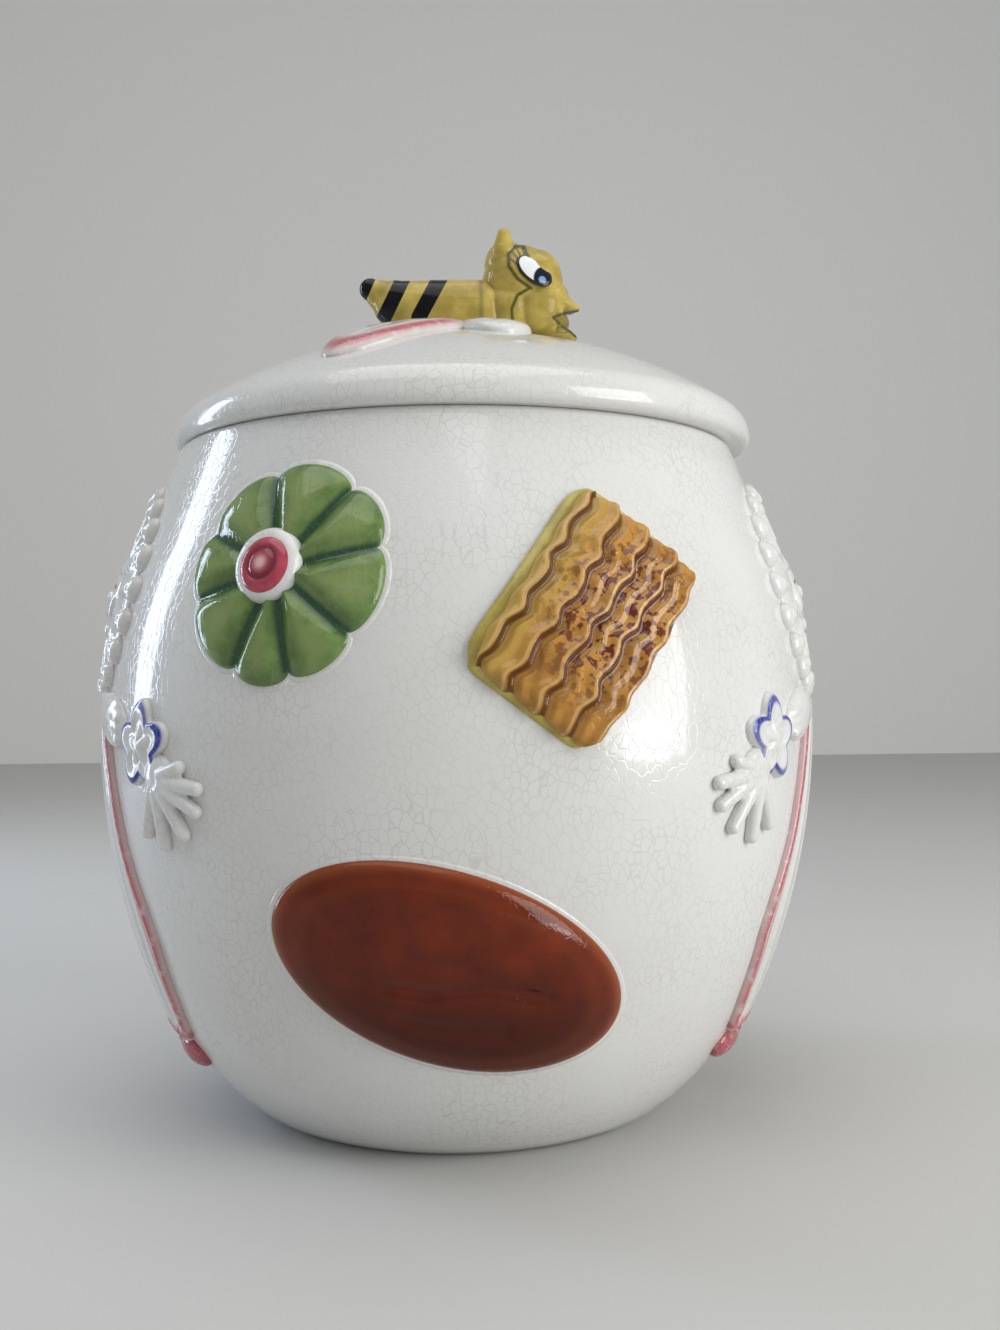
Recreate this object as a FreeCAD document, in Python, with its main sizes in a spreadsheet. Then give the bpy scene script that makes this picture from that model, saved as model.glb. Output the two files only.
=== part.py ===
import FreeCAD, Part
import math
import os

import Sketcher

# Biscuit jar: a slip-cast barrel with applied reliefs and a loose domed lid that carries a bee.
# +Z is up, the origin lies on the table under the barrel's axis, and the front faces -Y.
# An azimuth is measured from the front towards +X. Sizes are in millimetres and degrees.

doc = FreeCAD.newDocument("biscuit_jar")
sheet = doc.addObject("Spreadsheet::Sheet", "dims")

SIZES = (
    # Barrel, seen in half section
    ("belly_radius", 96.6),
    ("belly_height", 104.0),
    ("foot_bend", 23.7),
    ("upper_arc", 130.0),
    ("foot_arc", 73.0),
    ("foot_radius", 54.7),
    ("mouth_rise", 76.0),
    ("shoulder_lean", 20.8),
    ("wall", 5.2),
    ("floor_thickness", 6.5),
    ("rim_width", 6.8),
    ("throat_depth", 10.0),
    ("throat_bevel", 8.0),
    ("rim_round", 2.4),
    ("mouth_round", 1.0),
    ("foot_round", 2.0),
    ("foot_ring", 9.0),
    ("foot_recess", 1.6),
    # Lid
    ("lid_overhang", 3.7),
    ("lid_lip", 2.3),
    ("lid_edge_round", 8.8),
    ("dome_rise", 30.0),
    ("lid_wall", 5.0),
    ("flange_depth", 9.0),
    ("flange_wall", 4.4),
    ("flange_round", 1.2),
    ("lid_play", 2.8),
    ("lid_near_gap", 0.65),
    # Flower biscuit
    ("flower_azimuth", -26.0),
    ("flower_height", 141.0),
    ("flower_radius", 25.7),
    ("notch_depth", 3.4),
    ("petal_count", 8),
    ("petal_turn", 12.0),
    ("petal_gap", 1.2),
    ("petal_rim", 0.7),
    ("petal_base_relief", 1.7),
    ("petal_relief", 3.6),
    ("icing_radius", 8.4),
    ("icing_relief", 3.9),
    ("cherry_radius", 6.6),
    ("cherry_relief", 5.4),
    ("cherry_round", 1.3),
    # Wafer
    ("wafer_azimuth", 18.0),
    ("wafer_height", 130.2),
    ("wafer_length", 46.4),
    ("wafer_width", 35.0),
    ("wafer_tilt", 51.0),
    ("wafer_base_rim", 1.6),
    ("wafer_base_shift", 1.0),
    ("wafer_base_relief", 1.9),
    ("wafer_top_relief", 3.2),
    ("ridge_relief", 4.6),
    ("ridge_count", 6),
    ("ridge_gap", 1.9),
    ("ridge_wave", 0.9),
    ("ridge_wave_length", 12.0),
    ("wafer_corner", 4.0),
    # Oval biscuit
    ("oval_azimuth", -2.2),
    ("oval_height", 52.6),
    ("oval_length", 81.6),
    ("oval_width", 45.2),
    ("oval_tilt", -18.5),
    ("oval_relief", 4.8),
    ("oval_round", 3.6),
    # Doll in relief on each side, centred on its own azimuth
    ("doll_azimuth", 78.0),
    ("head_height", 140.0),
    ("face_width", 23.0),
    ("face_length", 27.0),
    ("face_relief", 4.0),
    ("face_round", 2.0),
    ("bonnet_width", 48.0),
    ("bonnet_length", 52.0),
    ("bonnet_relief", 2.6),
    ("curl_radius", 3.7),
    ("curl_pitch", 7.6),
    ("curl_relief", 3.2),
    ("gown_top", 113.0),
    ("gown_shoulder", 32.0),
    ("gown_waist", 50.0),
    ("gown_hip", 66.0),
    ("gown_hem", 26.0),
    ("gown_hem_width", 52.0),
    ("gown_relief", 2.4),
    ("sleeve_reach", 23.3),
    ("sleeve_length", 24.0),
    ("sleeve_width", 14.0),
    ("sleeve_relief", 3.2),
    ("sleeve_droop", 18.0),
    ("cuff_reach", 45.5),
    ("cuff_height", 101.5),
    ("cuff_radius", 11.0),
    ("cuff_points", 5),
    ("cuff_point_depth", 3.2),
    ("cuff_relief", 2.8),
    ("hand_reach", 52.3),
    ("hand_drop", 9.5),
    ("palm_radius", 5.6),
    ("finger_length", 13.5),
    ("finger_width", 3.4),
    ("hand_relief", 3.0),
    ("shoe_reach", 17.0),
    ("shoe_height", 21.5),
    ("shoe_length", 17.0),
    ("shoe_width", 8.4),
    ("shoe_relief", 3.2),
    # Bee, lying along +X on the middle of the lid
    ("thorax_x", 7.0),
    ("thorax_radius", 10.2),
    ("waist_x", -6.0),
    ("waist_radius", 9.2),
    ("rump_x", -17.0),
    ("rump_radius", 6.8),
    ("tail_x", -27.0),
    ("tail_radius", 3.8),
    ("bee_back_rise", 18.7),
    ("tail_tip_rise", 19.3),
    ("tail_round", 3.2),
    ("head_x", 20.0),
    ("head_rise", 14.7),
    ("head_length", 27.0),
    ("head_width", 25.0),
    ("head_depth", 24.0),
    ("snout_x", 28.0),
    ("snout_rise", 12.7),
    ("snout_length", 15.5),
    ("snout_width", 15.0),
    ("snout_depth", 8.0),
    ("jaw_x", 27.0),
    ("jaw_rise", 2.5),
    ("jaw_length", 17.0),
    ("jaw_width", 15.0),
    ("jaw_depth", 9.0),
    ("antenna_x", 14.3),
    ("antenna_spread", 11.0),
    ("antenna_rise", 33.0),
    ("antenna_length", 14.0),
    ("antenna_base_radius", 4.0),
    ("antenna_tip_radius", 1.7),
    ("eye_x", 23.0),
    ("eye_rise", 20.3),
    ("eye_length", 11.0),
    ("eye_width", 7.0),
    ("eye_depth", 2.0),
    ("eye_bulge", 0.8),
    ("wing_relief", 3.4),
    ("hind_wing_x", -15.0),
    ("hind_wing_y", 34.0),
    ("hind_wing_length", 62.0),
    ("hind_wing_width", 24.0),
    ("hind_wing_sweep", 55.0),
    ("fore_wing_x", 8.0),
    ("fore_wing_y", 24.0),
    ("fore_wing_length", 36.0),
    ("fore_wing_width", 20.0),
    ("fore_wing_sweep", 97.0),
)
ROWS = []


def add_size(alias, value):
    """Puts one named value in the sheet."""
    ROWS.append(alias)
    row = len(ROWS)
    sheet.set(f"A{row}", alias)
    sheet.set(f"B{row}", str(value))
    sheet.setAlias(f"B{row}", alias)
    doc.recompute()


def size(alias):
    return float(sheet.get(alias))


for name, number in SIZES:
    add_size(name, number)


V = FreeCAD.Vector
UP = V(0, 0, 1)

# Barrel outline, worked out from the sheet


def lower_arc_radius():
    """Radius of the barrel's lower arc. It leaves the belly upright, turns by the foot's bend, and
    there meets the foot arc, which ends on the table at the foot's radius."""
    bend = math.radians(size("foot_bend"))
    foot = size("foot_arc")
    across = size("foot_radius") - size("belly_radius") + foot * math.cos(bend)
    down = size("belly_height") + foot * math.sin(bend)
    drawn_in = 1 - math.cos(bend)
    drop = math.sin(bend)
    half = down * drop - across * drawn_in
    square = drawn_in**2 + drop**2
    return (half - math.sqrt(half**2 - square * (across**2 + down**2 - foot**2))) / square


def barrel_outline():
    """Centres of the arcs that make the barrel's outside, and the angle where the lower two meet."""
    reach = size("lower_arc") - size("foot_arc")
    lower = (size("belly_radius") - size("lower_arc"), size("belly_height"))
    upper = (size("belly_radius") - size("upper_arc"), size("belly_height"))
    turn = math.radians(size("foot_bend"))
    foot = (lower[0] + reach * math.cos(turn), lower[1] - reach * math.sin(turn))
    return {"lower": lower, "upper": upper, "foot": foot, "turn": turn}


add_size("lower_arc", lower_arc_radius())
add_size("mouth_height", size("belly_height") + size("mouth_rise"))
OUTLINE = barrel_outline()
LEAN = math.radians(size("shoulder_lean"))
MOUTH = size("mouth_height")


def on_circle(centre, radius, angle):
    return (centre[0] + radius * math.cos(angle), centre[1] + radius * math.sin(angle))


def cone_start(grow):
    return on_circle(OUTLINE["upper"], size("upper_arc") + grow, LEAN)


def cone_radius(height, grow):
    """Radius of the straight shoulder at a height, the wall moved outwards by grow."""
    radius, start = cone_start(grow)
    return radius - (height - start) * math.tan(LEAN)


def foot_radius_at(height, grow):
    """Radius of the lowest arc at a height, the wall moved outwards by grow."""
    foot = OUTLINE["foot"]
    return foot[0] + math.sqrt((size("foot_arc") + grow) ** 2 - (foot[1] - height) ** 2)


def barrel_arcs(grow, bottom):
    """The foot, lower and upper arcs, from bottom to the straight shoulder."""
    foot = OUTLINE["foot"]
    turn = OUTLINE["turn"]
    start = math.atan2(bottom - foot[1], foot_radius_at(bottom, grow) - foot[0])
    return [
        arc(foot, size("foot_arc") + grow, start, -turn),
        arc(OUTLINE["lower"], size("lower_arc") + grow, -turn, 0),
        arc(OUTLINE["upper"], size("upper_arc") + grow, 0, LEAN),
    ]


def wall_offset(point):
    """Distance of a point outside the barrel's outer wall."""
    radius = math.hypot(point.x, point.y)
    foot, lower, upper = OUTLINE["foot"], OUTLINE["lower"], OUTLINE["upper"]
    if point.z > size("belly_height"):
        if math.atan2(point.z - upper[1], radius - upper[0]) > LEAN:
            return (radius - cone_radius(point.z, 0.0)) * math.cos(LEAN)
        return math.hypot(radius - upper[0], point.z - upper[1]) - size("upper_arc")
    if math.atan2(lower[1] - point.z, radius - lower[0]) > OUTLINE["turn"]:
        return math.hypot(radius - foot[0], point.z - foot[1]) - size("foot_arc")
    return math.hypot(radius - lower[0], point.z - lower[1]) - size("lower_arc")


RIM_RADIUS = cone_radius(MOUTH, 0.0)
add_size("mouth_radius", RIM_RADIUS - size("rim_width"))
add_size("lid_radius", RIM_RADIUS + size("lid_overhang"))

# Sketch helpers

START, END, CENTRE = 1, 2, 3
SKETCH_ORIGIN = (-1, 1)
SKETCH_UPRIGHT = -2


def line(a, b):
    return Part.LineSegment(V(a[0], a[1], 0), V(b[0], b[1], 0))


def arc(centre, radius, start, end):
    """Arc about centre, anticlockwise between two angles in radians."""
    circle = Part.Circle(V(centre[0], centre[1], 0), UP, radius)
    return Part.ArcOfCircle(circle, start, end)


def new_body(name):
    body = doc.addObject("PartDesign::Body", name)
    body.Label = name
    return body


def sketch_on(body, name, role):
    sketch = body.newObject("Sketcher::SketchObject", name)
    plane = next(feature for feature in body.Origin.OriginFeatures if feature.Role == role)
    sketch.AttachmentSupport = [(plane, "")]
    sketch.MapMode = "FlatFace"
    return sketch


def bind(sketch, kind, where, value, expression):
    """Adds a dimension and ties it to the sheet."""
    index = sketch.addConstraint(Sketcher.Constraint(kind, *where, value))
    sketch.setExpression(f"Constraints[{index}]", expression)


def chain(sketch, count):
    """Joins the sketch's lines and arcs end to end, in their order, into a closed loop."""
    for first in range(count):
        second = (first + 1) % count
        sketch.addConstraint(Sketcher.Constraint("Coincident", first, END, second, START))


def level(sketch, *lines):
    for index in lines:
        sketch.addConstraint(Sketcher.Constraint("Horizontal", index))


def upright(sketch, *lines):
    for index in lines:
        sketch.addConstraint(Sketcher.Constraint("Vertical", index))


def tie_arcs(sketch, foot, lower, upper, grow, grow_text):
    """Gives the three arcs of the barrel's wall their radii and centres from the sheet."""
    for index, name in ((foot, "foot_arc"), (lower, "lower_arc"), (upper, "upper_arc")):
        bind(sketch, "Radius", (index,), size(name) + grow, f"dims.{name}{grow_text}")
    for index in (lower, upper):
        bind(sketch, "DistanceY", (*SKETCH_ORIGIN, index, CENTRE), size("belly_height"), "dims.belly_height")
    bind(
        sketch,
        "DistanceX",
        (*SKETCH_ORIGIN, lower, END),
        size("belly_radius") + grow,
        f"dims.belly_radius{grow_text}",
    )


def revolve(body, name, kind, sketch):
    feature = body.newObject(kind, name)
    feature.Profile = sketch
    feature.ReferenceAxis = (sketch, ["V_Axis"])
    feature.Angle = 360
    doc.recompute()
    return feature


def ring_edges(feature, radius, height):
    """Names of the circular edges of a feature with this radius at this height."""
    names = []
    for number, edge in enumerate(feature.Shape.Edges, start=1):
        box = edge.BoundBox
        flat = abs(box.ZMin - height) < 1e-3 and abs(box.ZMax - height) < 1e-3
        if flat and abs(box.XMax - box.Center.x - radius) < 1e-3:
            names.append(f"Edge{number}")
    return names


def round_edges(body, name, base, edges, expression):
    fillet = body.newObject("PartDesign::Fillet", name)
    fillet.Base = (base, edges)
    fillet.setExpression("Radius", expression)
    doc.recompute()
    return fillet


# Jar body: the barrel turned in one piece, hollowed, with a throat under the mouth and a foot ring


def jar_body():
    body = new_body("jar_body")
    outside = sketch_on(body, "barrel_outside", "XZ_Plane")
    base = (foot_radius_at(0.0, 0.0), 0.0)
    shoulder = (cone_radius(MOUTH, 0.0), MOUTH)
    outside.addGeometry(
        [
            line((0, 0), base),
            *barrel_arcs(0.0, 0.0),
            line(cone_start(0.0), shoulder),
            line(shoulder, (0, MOUTH)),
            line((0, MOUTH), (0, 0)),
        ]
    )
    chain(outside, 7)
    level(outside, 0, 5)
    upright(outside, 6)
    outside.addConstraint(Sketcher.Constraint("Coincident", 0, START, *SKETCH_ORIGIN))
    bind(outside, "DistanceX", (*SKETCH_ORIGIN, 0, END), base[0], "dims.foot_radius")
    bind(outside, "DistanceY", (*SKETCH_ORIGIN, 5, END), MOUTH, "dims.mouth_height")
    tie_arcs(outside, 1, 2, 3, 0.0, "")
    revolve(body, "barrel", "PartDesign::Revolution", outside)

    inside = sketch_on(body, "barrel_inside", "XZ_Plane")
    grow = -size("wall")
    floor = size("floor_thickness")
    throat = MOUTH - size("throat_depth")
    ledge = throat - size("throat_bevel")
    mouth = size("mouth_radius")
    inside.addGeometry(
        [
            line((0, floor), (foot_radius_at(floor, grow), floor)),
            *barrel_arcs(grow, floor),
            line(cone_start(grow), (cone_radius(ledge, grow), ledge)),
            line((cone_radius(ledge, grow), ledge), (mouth, throat)),
            line((mouth, throat), (mouth, MOUTH)),
            line((mouth, MOUTH), (0, MOUTH)),
            line((0, MOUTH), (0, floor)),
        ]
    )
    chain(inside, 9)
    level(inside, 0, 7)
    upright(inside, 6, 8)
    inside.addConstraint(Sketcher.Constraint("PointOnObject", 8, START, SKETCH_UPRIGHT))
    bind(inside, "DistanceY", (*SKETCH_ORIGIN, 0, START), floor, "dims.floor_thickness")
    bind(inside, "DistanceX", (*SKETCH_ORIGIN, 6, START), mouth, "dims.mouth_radius")
    bind(inside, "DistanceY", (*SKETCH_ORIGIN, 7, START), MOUTH, "dims.mouth_height")
    bind(inside, "DistanceY", (6, START, 6, END), size("throat_depth"), "dims.throat_depth")
    bind(inside, "DistanceY", (5, START, 5, END), size("throat_bevel"), "dims.throat_bevel")
    tie_arcs(inside, 1, 2, 3, grow, " - dims.wall")
    revolve(body, "hollow", "PartDesign::Groove", inside)

    under = sketch_on(body, "foot_underside", "XZ_Plane")
    recess = size("foot_recess")
    inner = size("foot_radius") - size("foot_ring")
    under.addGeometry(
        [
            line((0, 0), (inner, 0)),
            line((inner, 0), (inner, recess)),
            line((inner, recess), (0, recess)),
            line((0, recess), (0, 0)),
        ]
    )
    chain(under, 4)
    level(under, 0, 2)
    upright(under, 1, 3)
    under.addConstraint(Sketcher.Constraint("Coincident", 0, START, *SKETCH_ORIGIN))
    bind(under, "DistanceX", (*SKETCH_ORIGIN, 0, END), inner, "dims.foot_radius - dims.foot_ring")
    bind(under, "DistanceY", (1, START, 1, END), recess, "dims.foot_recess")
    hollow = revolve(body, "foot_hollow", "PartDesign::Groove", under)

    rim = ring_edges(hollow, cone_radius(MOUTH, 0.0), MOUTH)
    rounded = round_edges(body, "rim_rounding", hollow, rim, "dims.rim_round")
    mouth_edge = ring_edges(rounded, mouth, MOUTH)
    rounded = round_edges(body, "mouth_rounding", rounded, mouth_edge, "dims.mouth_round")
    foot_edge = ring_edges(rounded, size("foot_radius"), 0.0)
    round_edges(body, "foot_rounding", rounded, foot_edge, "dims.foot_round")
    return body


# Lid: a dome with a rolled edge, a flat seat on the rim and a flange that locates it in the mouth



def dome_arc_radius():
    """Radius of the dome that rises as named and runs smoothly into the rounded edge."""
    edge = size("lid_radius") - size("lid_edge_round")
    rise = size("dome_rise")
    rounding = size("lid_edge_round")
    return (edge**2 + rise**2 - rounding**2) / (2 * (rise - rounding))


add_size("dome_arc", dome_arc_radius())
LID_SHIFT = size("lid_play") - size("lid_near_gap")
LID_AXIS = V(LID_SHIFT, 0, 0)
WIDEST = MOUTH + size("lid_lip")
EDGE_CENTRE = (size("lid_radius") - size("lid_edge_round"), WIDEST)
DOME_REACH = size("dome_arc") - size("lid_edge_round")
DOME_CENTRE = (0.0, WIDEST - math.sqrt(DOME_REACH**2 - EDGE_CENTRE[0] ** 2))
DOME_TOP = DOME_CENTRE[1] + size("dome_arc")
DOME_TURN = math.atan2(WIDEST - DOME_CENTRE[1], EDGE_CENTRE[0])
for name, rise_name in (
    ("bee_back_height", "bee_back_rise"),
    ("tail_tip_height", "tail_tip_rise"),
    ("head_middle", "head_rise"),
    ("snout_middle", "snout_rise"),
    ("jaw_middle", "jaw_rise"),
    ("antenna_top", "antenna_rise"),
    ("eye_middle", "eye_rise"),
):
    add_size(name, DOME_TOP + size(rise_name))


def dome_height(radius, grow):
    return DOME_CENTRE[1] + math.sqrt((size("dome_arc") + grow) ** 2 - radius**2)


def lid_shell():
    body = new_body("lid_shell")
    section = sketch_on(body, "lid_section", "XZ_Plane")
    outer = size("mouth_radius") - size("lid_play")
    inner = outer - size("flange_wall")
    foot = MOUTH - size("flange_depth")
    lip = size("lid_lip")
    lip_centre = (size("lid_radius") - lip, WIDEST)
    inside = size("dome_arc") - size("lid_wall")
    inner_top = dome_height(inner, -size("lid_wall"))
    inner_angle = math.atan2(inner_top - DOME_CENTRE[1], inner)
    section.addGeometry(
        [
            line((0, DOME_TOP - size("lid_wall")), (0, DOME_TOP)),
            arc(DOME_CENTRE, size("dome_arc"), DOME_TURN, math.pi / 2),
            arc(EDGE_CENTRE, size("lid_edge_round"), 0, DOME_TURN),
            arc(lip_centre, lip, -math.pi / 2, 0),
            line((lip_centre[0], MOUTH), (outer, MOUTH)),
            line((outer, MOUTH), (outer, foot)),
            line((outer, foot), (inner, foot)),
            line((inner, foot), (inner, inner_top)),
            arc(DOME_CENTRE, inside, inner_angle, math.pi / 2),
        ]
    )
    for first, first_end, second, second_end in (
        (0, END, 1, END),
        (1, START, 2, END),
        (2, START, 3, END),
        (3, START, 4, START),
        (4, END, 5, START),
        (5, END, 6, START),
        (6, END, 7, START),
        (7, END, 8, START),
        (8, END, 0, START),
        (8, CENTRE, 1, CENTRE),
    ):
        section.addConstraint(Sketcher.Constraint("Coincident", first, first_end, second, second_end))
    level(section, 4, 6)
    upright(section, 0, 5, 7)
    section.addConstraint(Sketcher.Constraint("PointOnObject", 0, START, SKETCH_UPRIGHT))
    section.addConstraint(Sketcher.Constraint("PointOnObject", 1, CENTRE, SKETCH_UPRIGHT))
    bind(section, "Radius", (1,), size("dome_arc"), "dims.dome_arc")
    bind(section, "Radius", (8,), inside, "dims.dome_arc - dims.lid_wall")
    bind(section, "Radius", (2,), size("lid_edge_round"), "dims.lid_edge_round")
    bind(section, "Radius", (3,), lip, "dims.lid_lip")
    bind(section, "DistanceX", (*SKETCH_ORIGIN, 2, START), size("lid_radius"), "dims.lid_radius")
    bind(section, "DistanceY", (*SKETCH_ORIGIN, 4, END), MOUTH, "dims.mouth_height")
    bind(section, "DistanceX", (*SKETCH_ORIGIN, 5, START), outer, "dims.mouth_radius - dims.lid_play")
    bind(section, "DistanceX", (6, END, 6, START), size("flange_wall"), "dims.flange_wall")
    bind(section, "DistanceY", (5, END, 5, START), size("flange_depth"), "dims.flange_depth")
    turned = revolve(body, "lid_turned", "PartDesign::Revolution", section)
    edges = ring_edges(turned, outer, foot) + ring_edges(turned, inner, foot)
    round_edges(body, "flange_rounding", turned, edges, "dims.flange_round")
    body.Placement.Base = LID_AXIS
    return body


# Solids that the reliefs are cut against


BANDS = {}
# Half of the stretch of wall that one relief may cover, in degrees
BAND_REACH = 50.0


def band(outer, azimuth, inner=0.0):
    """The space between two offsets of the barrel's wall, for a stretch about an azimuth."""
    key = (outer, azimuth, inner)
    if key not in BANDS:
        curves = []
        for grow in (outer, inner):
            curves.extend(barrel_arcs(grow, 0.0))
            curves.append(line(cone_start(grow), (cone_radius(MOUTH, grow), MOUTH)))
        curves.append(line((foot_radius_at(0.0, inner), 0), (foot_radius_at(0.0, outer), 0)))
        curves.append(line((cone_radius(MOUTH, outer), MOUTH), (cone_radius(MOUTH, inner), MOUTH)))
        edges = Part.sortEdges([curve.toShape() for curve in curves])[0]
        face = Part.Face(Part.Wire(edges))
        face.rotate(V(0, 0, 0), V(1, 0, 0), 90)
        face.rotate(V(0, 0, 0), UP, azimuth - 90 - BAND_REACH)
        BANDS[key] = face.revolve(V(0, 0, 0), UP, 2 * BAND_REACH)
    return BANDS[key]


def relief_frame(azimuth, height):
    """Local x runs to the right, y up and z outwards, seen from outside at this azimuth."""
    angle = math.radians(azimuth)
    right = V(math.cos(angle), math.sin(angle), 0)
    outward = V(math.sin(angle), -math.cos(angle), 0)
    rotation = FreeCAD.Rotation(right, UP, outward, "ZYX")
    return FreeCAD.Placement(V(0, 0, height), rotation)


def prism(face, azimuth, height=0.0):
    """A flat shape drawn on the wall, made into a bar that points outwards through it."""
    shape = face.extrude(V(0, 0, size("belly_radius")))
    shape.translate(V(0, 0, size("foot_radius") / 2))
    shape.Placement = relief_frame(azimuth, height).multiply(shape.Placement)
    return shape


def relief(face, azimuth, height, outer, inner=0.0):
    """A flat shape laid on the wall as a relief, from one offset of the wall to another."""
    return prism(face, azimuth, height).common(band(outer, azimuth, inner))


SAME_OFFSET = 0.02
# Where along an edge its height above the wall is tested
EDGE_SHARES = (0.1, 0.5, 0.9)


def soften(shape, height, radius):
    """Rounds the edges at the top of a relief that stands this high off the wall."""
    edges = []
    for edge in shape.Edges:
        if edge.Length < 1e-3:
            continue
        ends = edge.ParameterRange
        samples = [edge.valueAt(ends[0] + (ends[1] - ends[0]) * share) for share in EDGE_SHARES]
        if all(abs(wall_offset(point) - height) < SAME_OFFSET for point in samples):
            edges.append(edge)
    return shape.makeFillet(radius, edges)


# Outlines


def ellipse_wire(width, length, tilt=0.0, centre=(0.0, 0.0)):
    major = max(width, length) / 2
    minor = min(width, length) / 2
    angle = math.radians(tilt + (90 if length > width else 0))
    middle = V(centre[0], centre[1], 0)
    along = V(math.cos(angle), math.sin(angle), 0)
    across = V(-math.sin(angle), math.cos(angle), 0)
    if major - minor < 1e-6:
        return Part.Wire([Part.Circle(middle, UP, major).toShape()])
    curve = Part.Ellipse(middle + along * major, middle + across * minor, middle)
    return Part.Wire([curve.toShape()])


def polar(radius, degrees):
    angle = math.radians(degrees)
    return V(radius * math.cos(angle), radius * math.sin(angle), 0)


def arcs_wire(points):
    """A closed outline of arcs, each through three of the points."""
    edges = []
    for index in range(0, len(points), 2):
        end = points[(index + 2) % len(points)]
        edges.append(Part.Arc(points[index], points[index + 1], end).toShape())
    return Part.Wire(edges)


def rounded_rectangle(length, width, corner, tilt, centre):
    half_length = length / 2 - corner
    half_width = width / 2 - corner
    edges = []
    for quarter, (x, y) in enumerate(((1, 1), (-1, 1), (-1, -1), (1, -1))):
        middle = (x * half_length, y * half_width)
        start = quarter * math.pi / 2
        edges.append(arc(middle, corner, start, start + math.pi / 2).toShape())
    ordered = []
    for quarter, edge in enumerate(edges):
        following = edges[(quarter + 1) % 4]
        ordered.append(edge)
        ordered.append(Part.LineSegment(edge.lastVertex().Point, following.firstVertex().Point).toShape())
    wire = Part.Wire(ordered)
    wire.rotate(V(0, 0, 0), UP, tilt)
    wire.translate(V(centre[0], centre[1], 0))
    return wire


# Reliefs on the front

NODES = {}


def add_relief(name, shape):
    feature = doc.addObject("Part::Feature", name)
    feature.Label = name
    feature.Shape = shape
    NODES[name] = feature
    return feature


def petal_wire(turn, step):
    """One petal: narrow at the heart of the flower and round at its rim."""
    radius = size("flower_radius") - size("petal_rim")
    gap = size("petal_gap") / 2
    inner = size("icing_radius")
    wide = radius - size("notch_depth")

    def beside(reach, side):
        return turn + side * (step / 2 - math.degrees(gap / reach))

    return arcs_wire(
        [
            polar(wide, beside(wide, -1)),
            polar(radius, turn),
            polar(wide, beside(wide, 1)),
            polar((wide + inner) / 2, beside((wide + inner) / 2, 1)),
            polar(inner, beside(inner, 1)),
            polar(inner, turn),
            polar(inner, beside(inner, -1)),
            polar((wide + inner) / 2, beside((wide + inner) / 2, -1)),
        ]
    )


def disc(radius, centre=(0.0, 0.0)):
    return Part.Face(ellipse_wire(2 * radius, 2 * radius, 0.0, centre))


def flower():
    azimuth = size("flower_azimuth")
    height = size("flower_height")
    count = int(size("petal_count"))
    step = 360 / count
    radius = size("flower_radius")
    points = []
    for number in range(count):
        turn = size("petal_turn") + number * step
        points.append(polar(radius - size("notch_depth"), turn - step / 2))
        points.append(polar(radius, turn))
    icing = disc(size("icing_radius"))
    cherry = disc(size("cherry_radius"))
    plate = Part.Face(arcs_wire(points)).cut(icing)
    petals = Part.makeCompound(
        [Part.Face(petal_wire(size("petal_turn") + number * step, step)).cut(icing) for number in range(count)]
    )
    base = relief(plate, azimuth, height, size("petal_base_relief"))
    raised = relief(petals, azimuth, height, size("petal_relief"), size("petal_base_relief"))
    add_relief("flower_petals", base.fuse(raised.Solids))
    ring = relief(icing.cut(cherry), azimuth, height, size("icing_relief"))
    add_relief("flower_icing", ring)
    fruit = relief(cherry, azimuth, height, size("cherry_relief"))
    add_relief("flower_cherry", soften(fruit, size("cherry_relief"), size("cherry_round")))


def ridge_wire(middle, width, length, tilt):
    """One wavy ridge along the wafer."""
    waves = max(2, round(length / size("ridge_wave_length")))
    stations = 4 * waves

    def edge_points(side, reverse):
        points = []
        for station in range(stations + 1):
            x = -length / 2 + length * station / stations
            y = middle + side * width / 2 + size("ridge_wave") * math.sin(math.pi * station / 2)
            points.append(V(x, y, 0))
        return points[::-1] if reverse else points

    low = Part.BSplineCurve()
    low.interpolate(edge_points(-1, False))
    high = Part.BSplineCurve()
    high.interpolate(edge_points(1, True))
    right = (V(length / 2, middle - width / 2, 0), V(length / 2, middle + width / 2, 0))
    left = (V(-length / 2, middle + width / 2, 0), V(-length / 2, middle - width / 2, 0))
    bulge = V(width / 2, 0, 0)
    right_end = Part.Arc(right[0], (right[0] + right[1]) / 2 + bulge, right[1])
    left_end = Part.Arc(left[0], (left[0] + left[1]) / 2 - bulge, left[1])
    wire = Part.Wire([low.toShape(), right_end.toShape(), high.toShape(), left_end.toShape()])
    wire.rotate(V(0, 0, 0), UP, tilt)
    return wire


def wafer():
    azimuth = size("wafer_azimuth")
    height = size("wafer_height")
    tilt = size("wafer_tilt")
    length = size("wafer_length")
    width = size("wafer_width")
    rim = size("wafer_base_rim")
    shift = size("wafer_base_shift")
    corner = size("wafer_corner")
    under = size("wafer_base_relief")
    base = Part.Face(rounded_rectangle(length + 2 * rim, width + 2 * rim, corner, tilt, (-shift, shift / 2)))
    add_relief("wafer_base", relief(base, azimuth, height, under))
    plate = Part.Face(rounded_rectangle(length - corner, width, corner / 2, tilt, (0, 0)))
    count = int(size("ridge_count"))
    pitch = width / count
    ridges = []
    for number in range(count):
        middle = (number - (count - 1) / 2) * pitch
        ridges.append(Part.Face(ridge_wire(middle, pitch - size("ridge_gap"), length - pitch, tilt)))
    top = relief(plate, azimuth, height, size("wafer_top_relief"), under)
    raised = relief(Part.makeCompound(ridges), azimuth, height, size("ridge_relief"), under)
    add_relief("wafer_top", top.fuse(raised.Solids))


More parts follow.
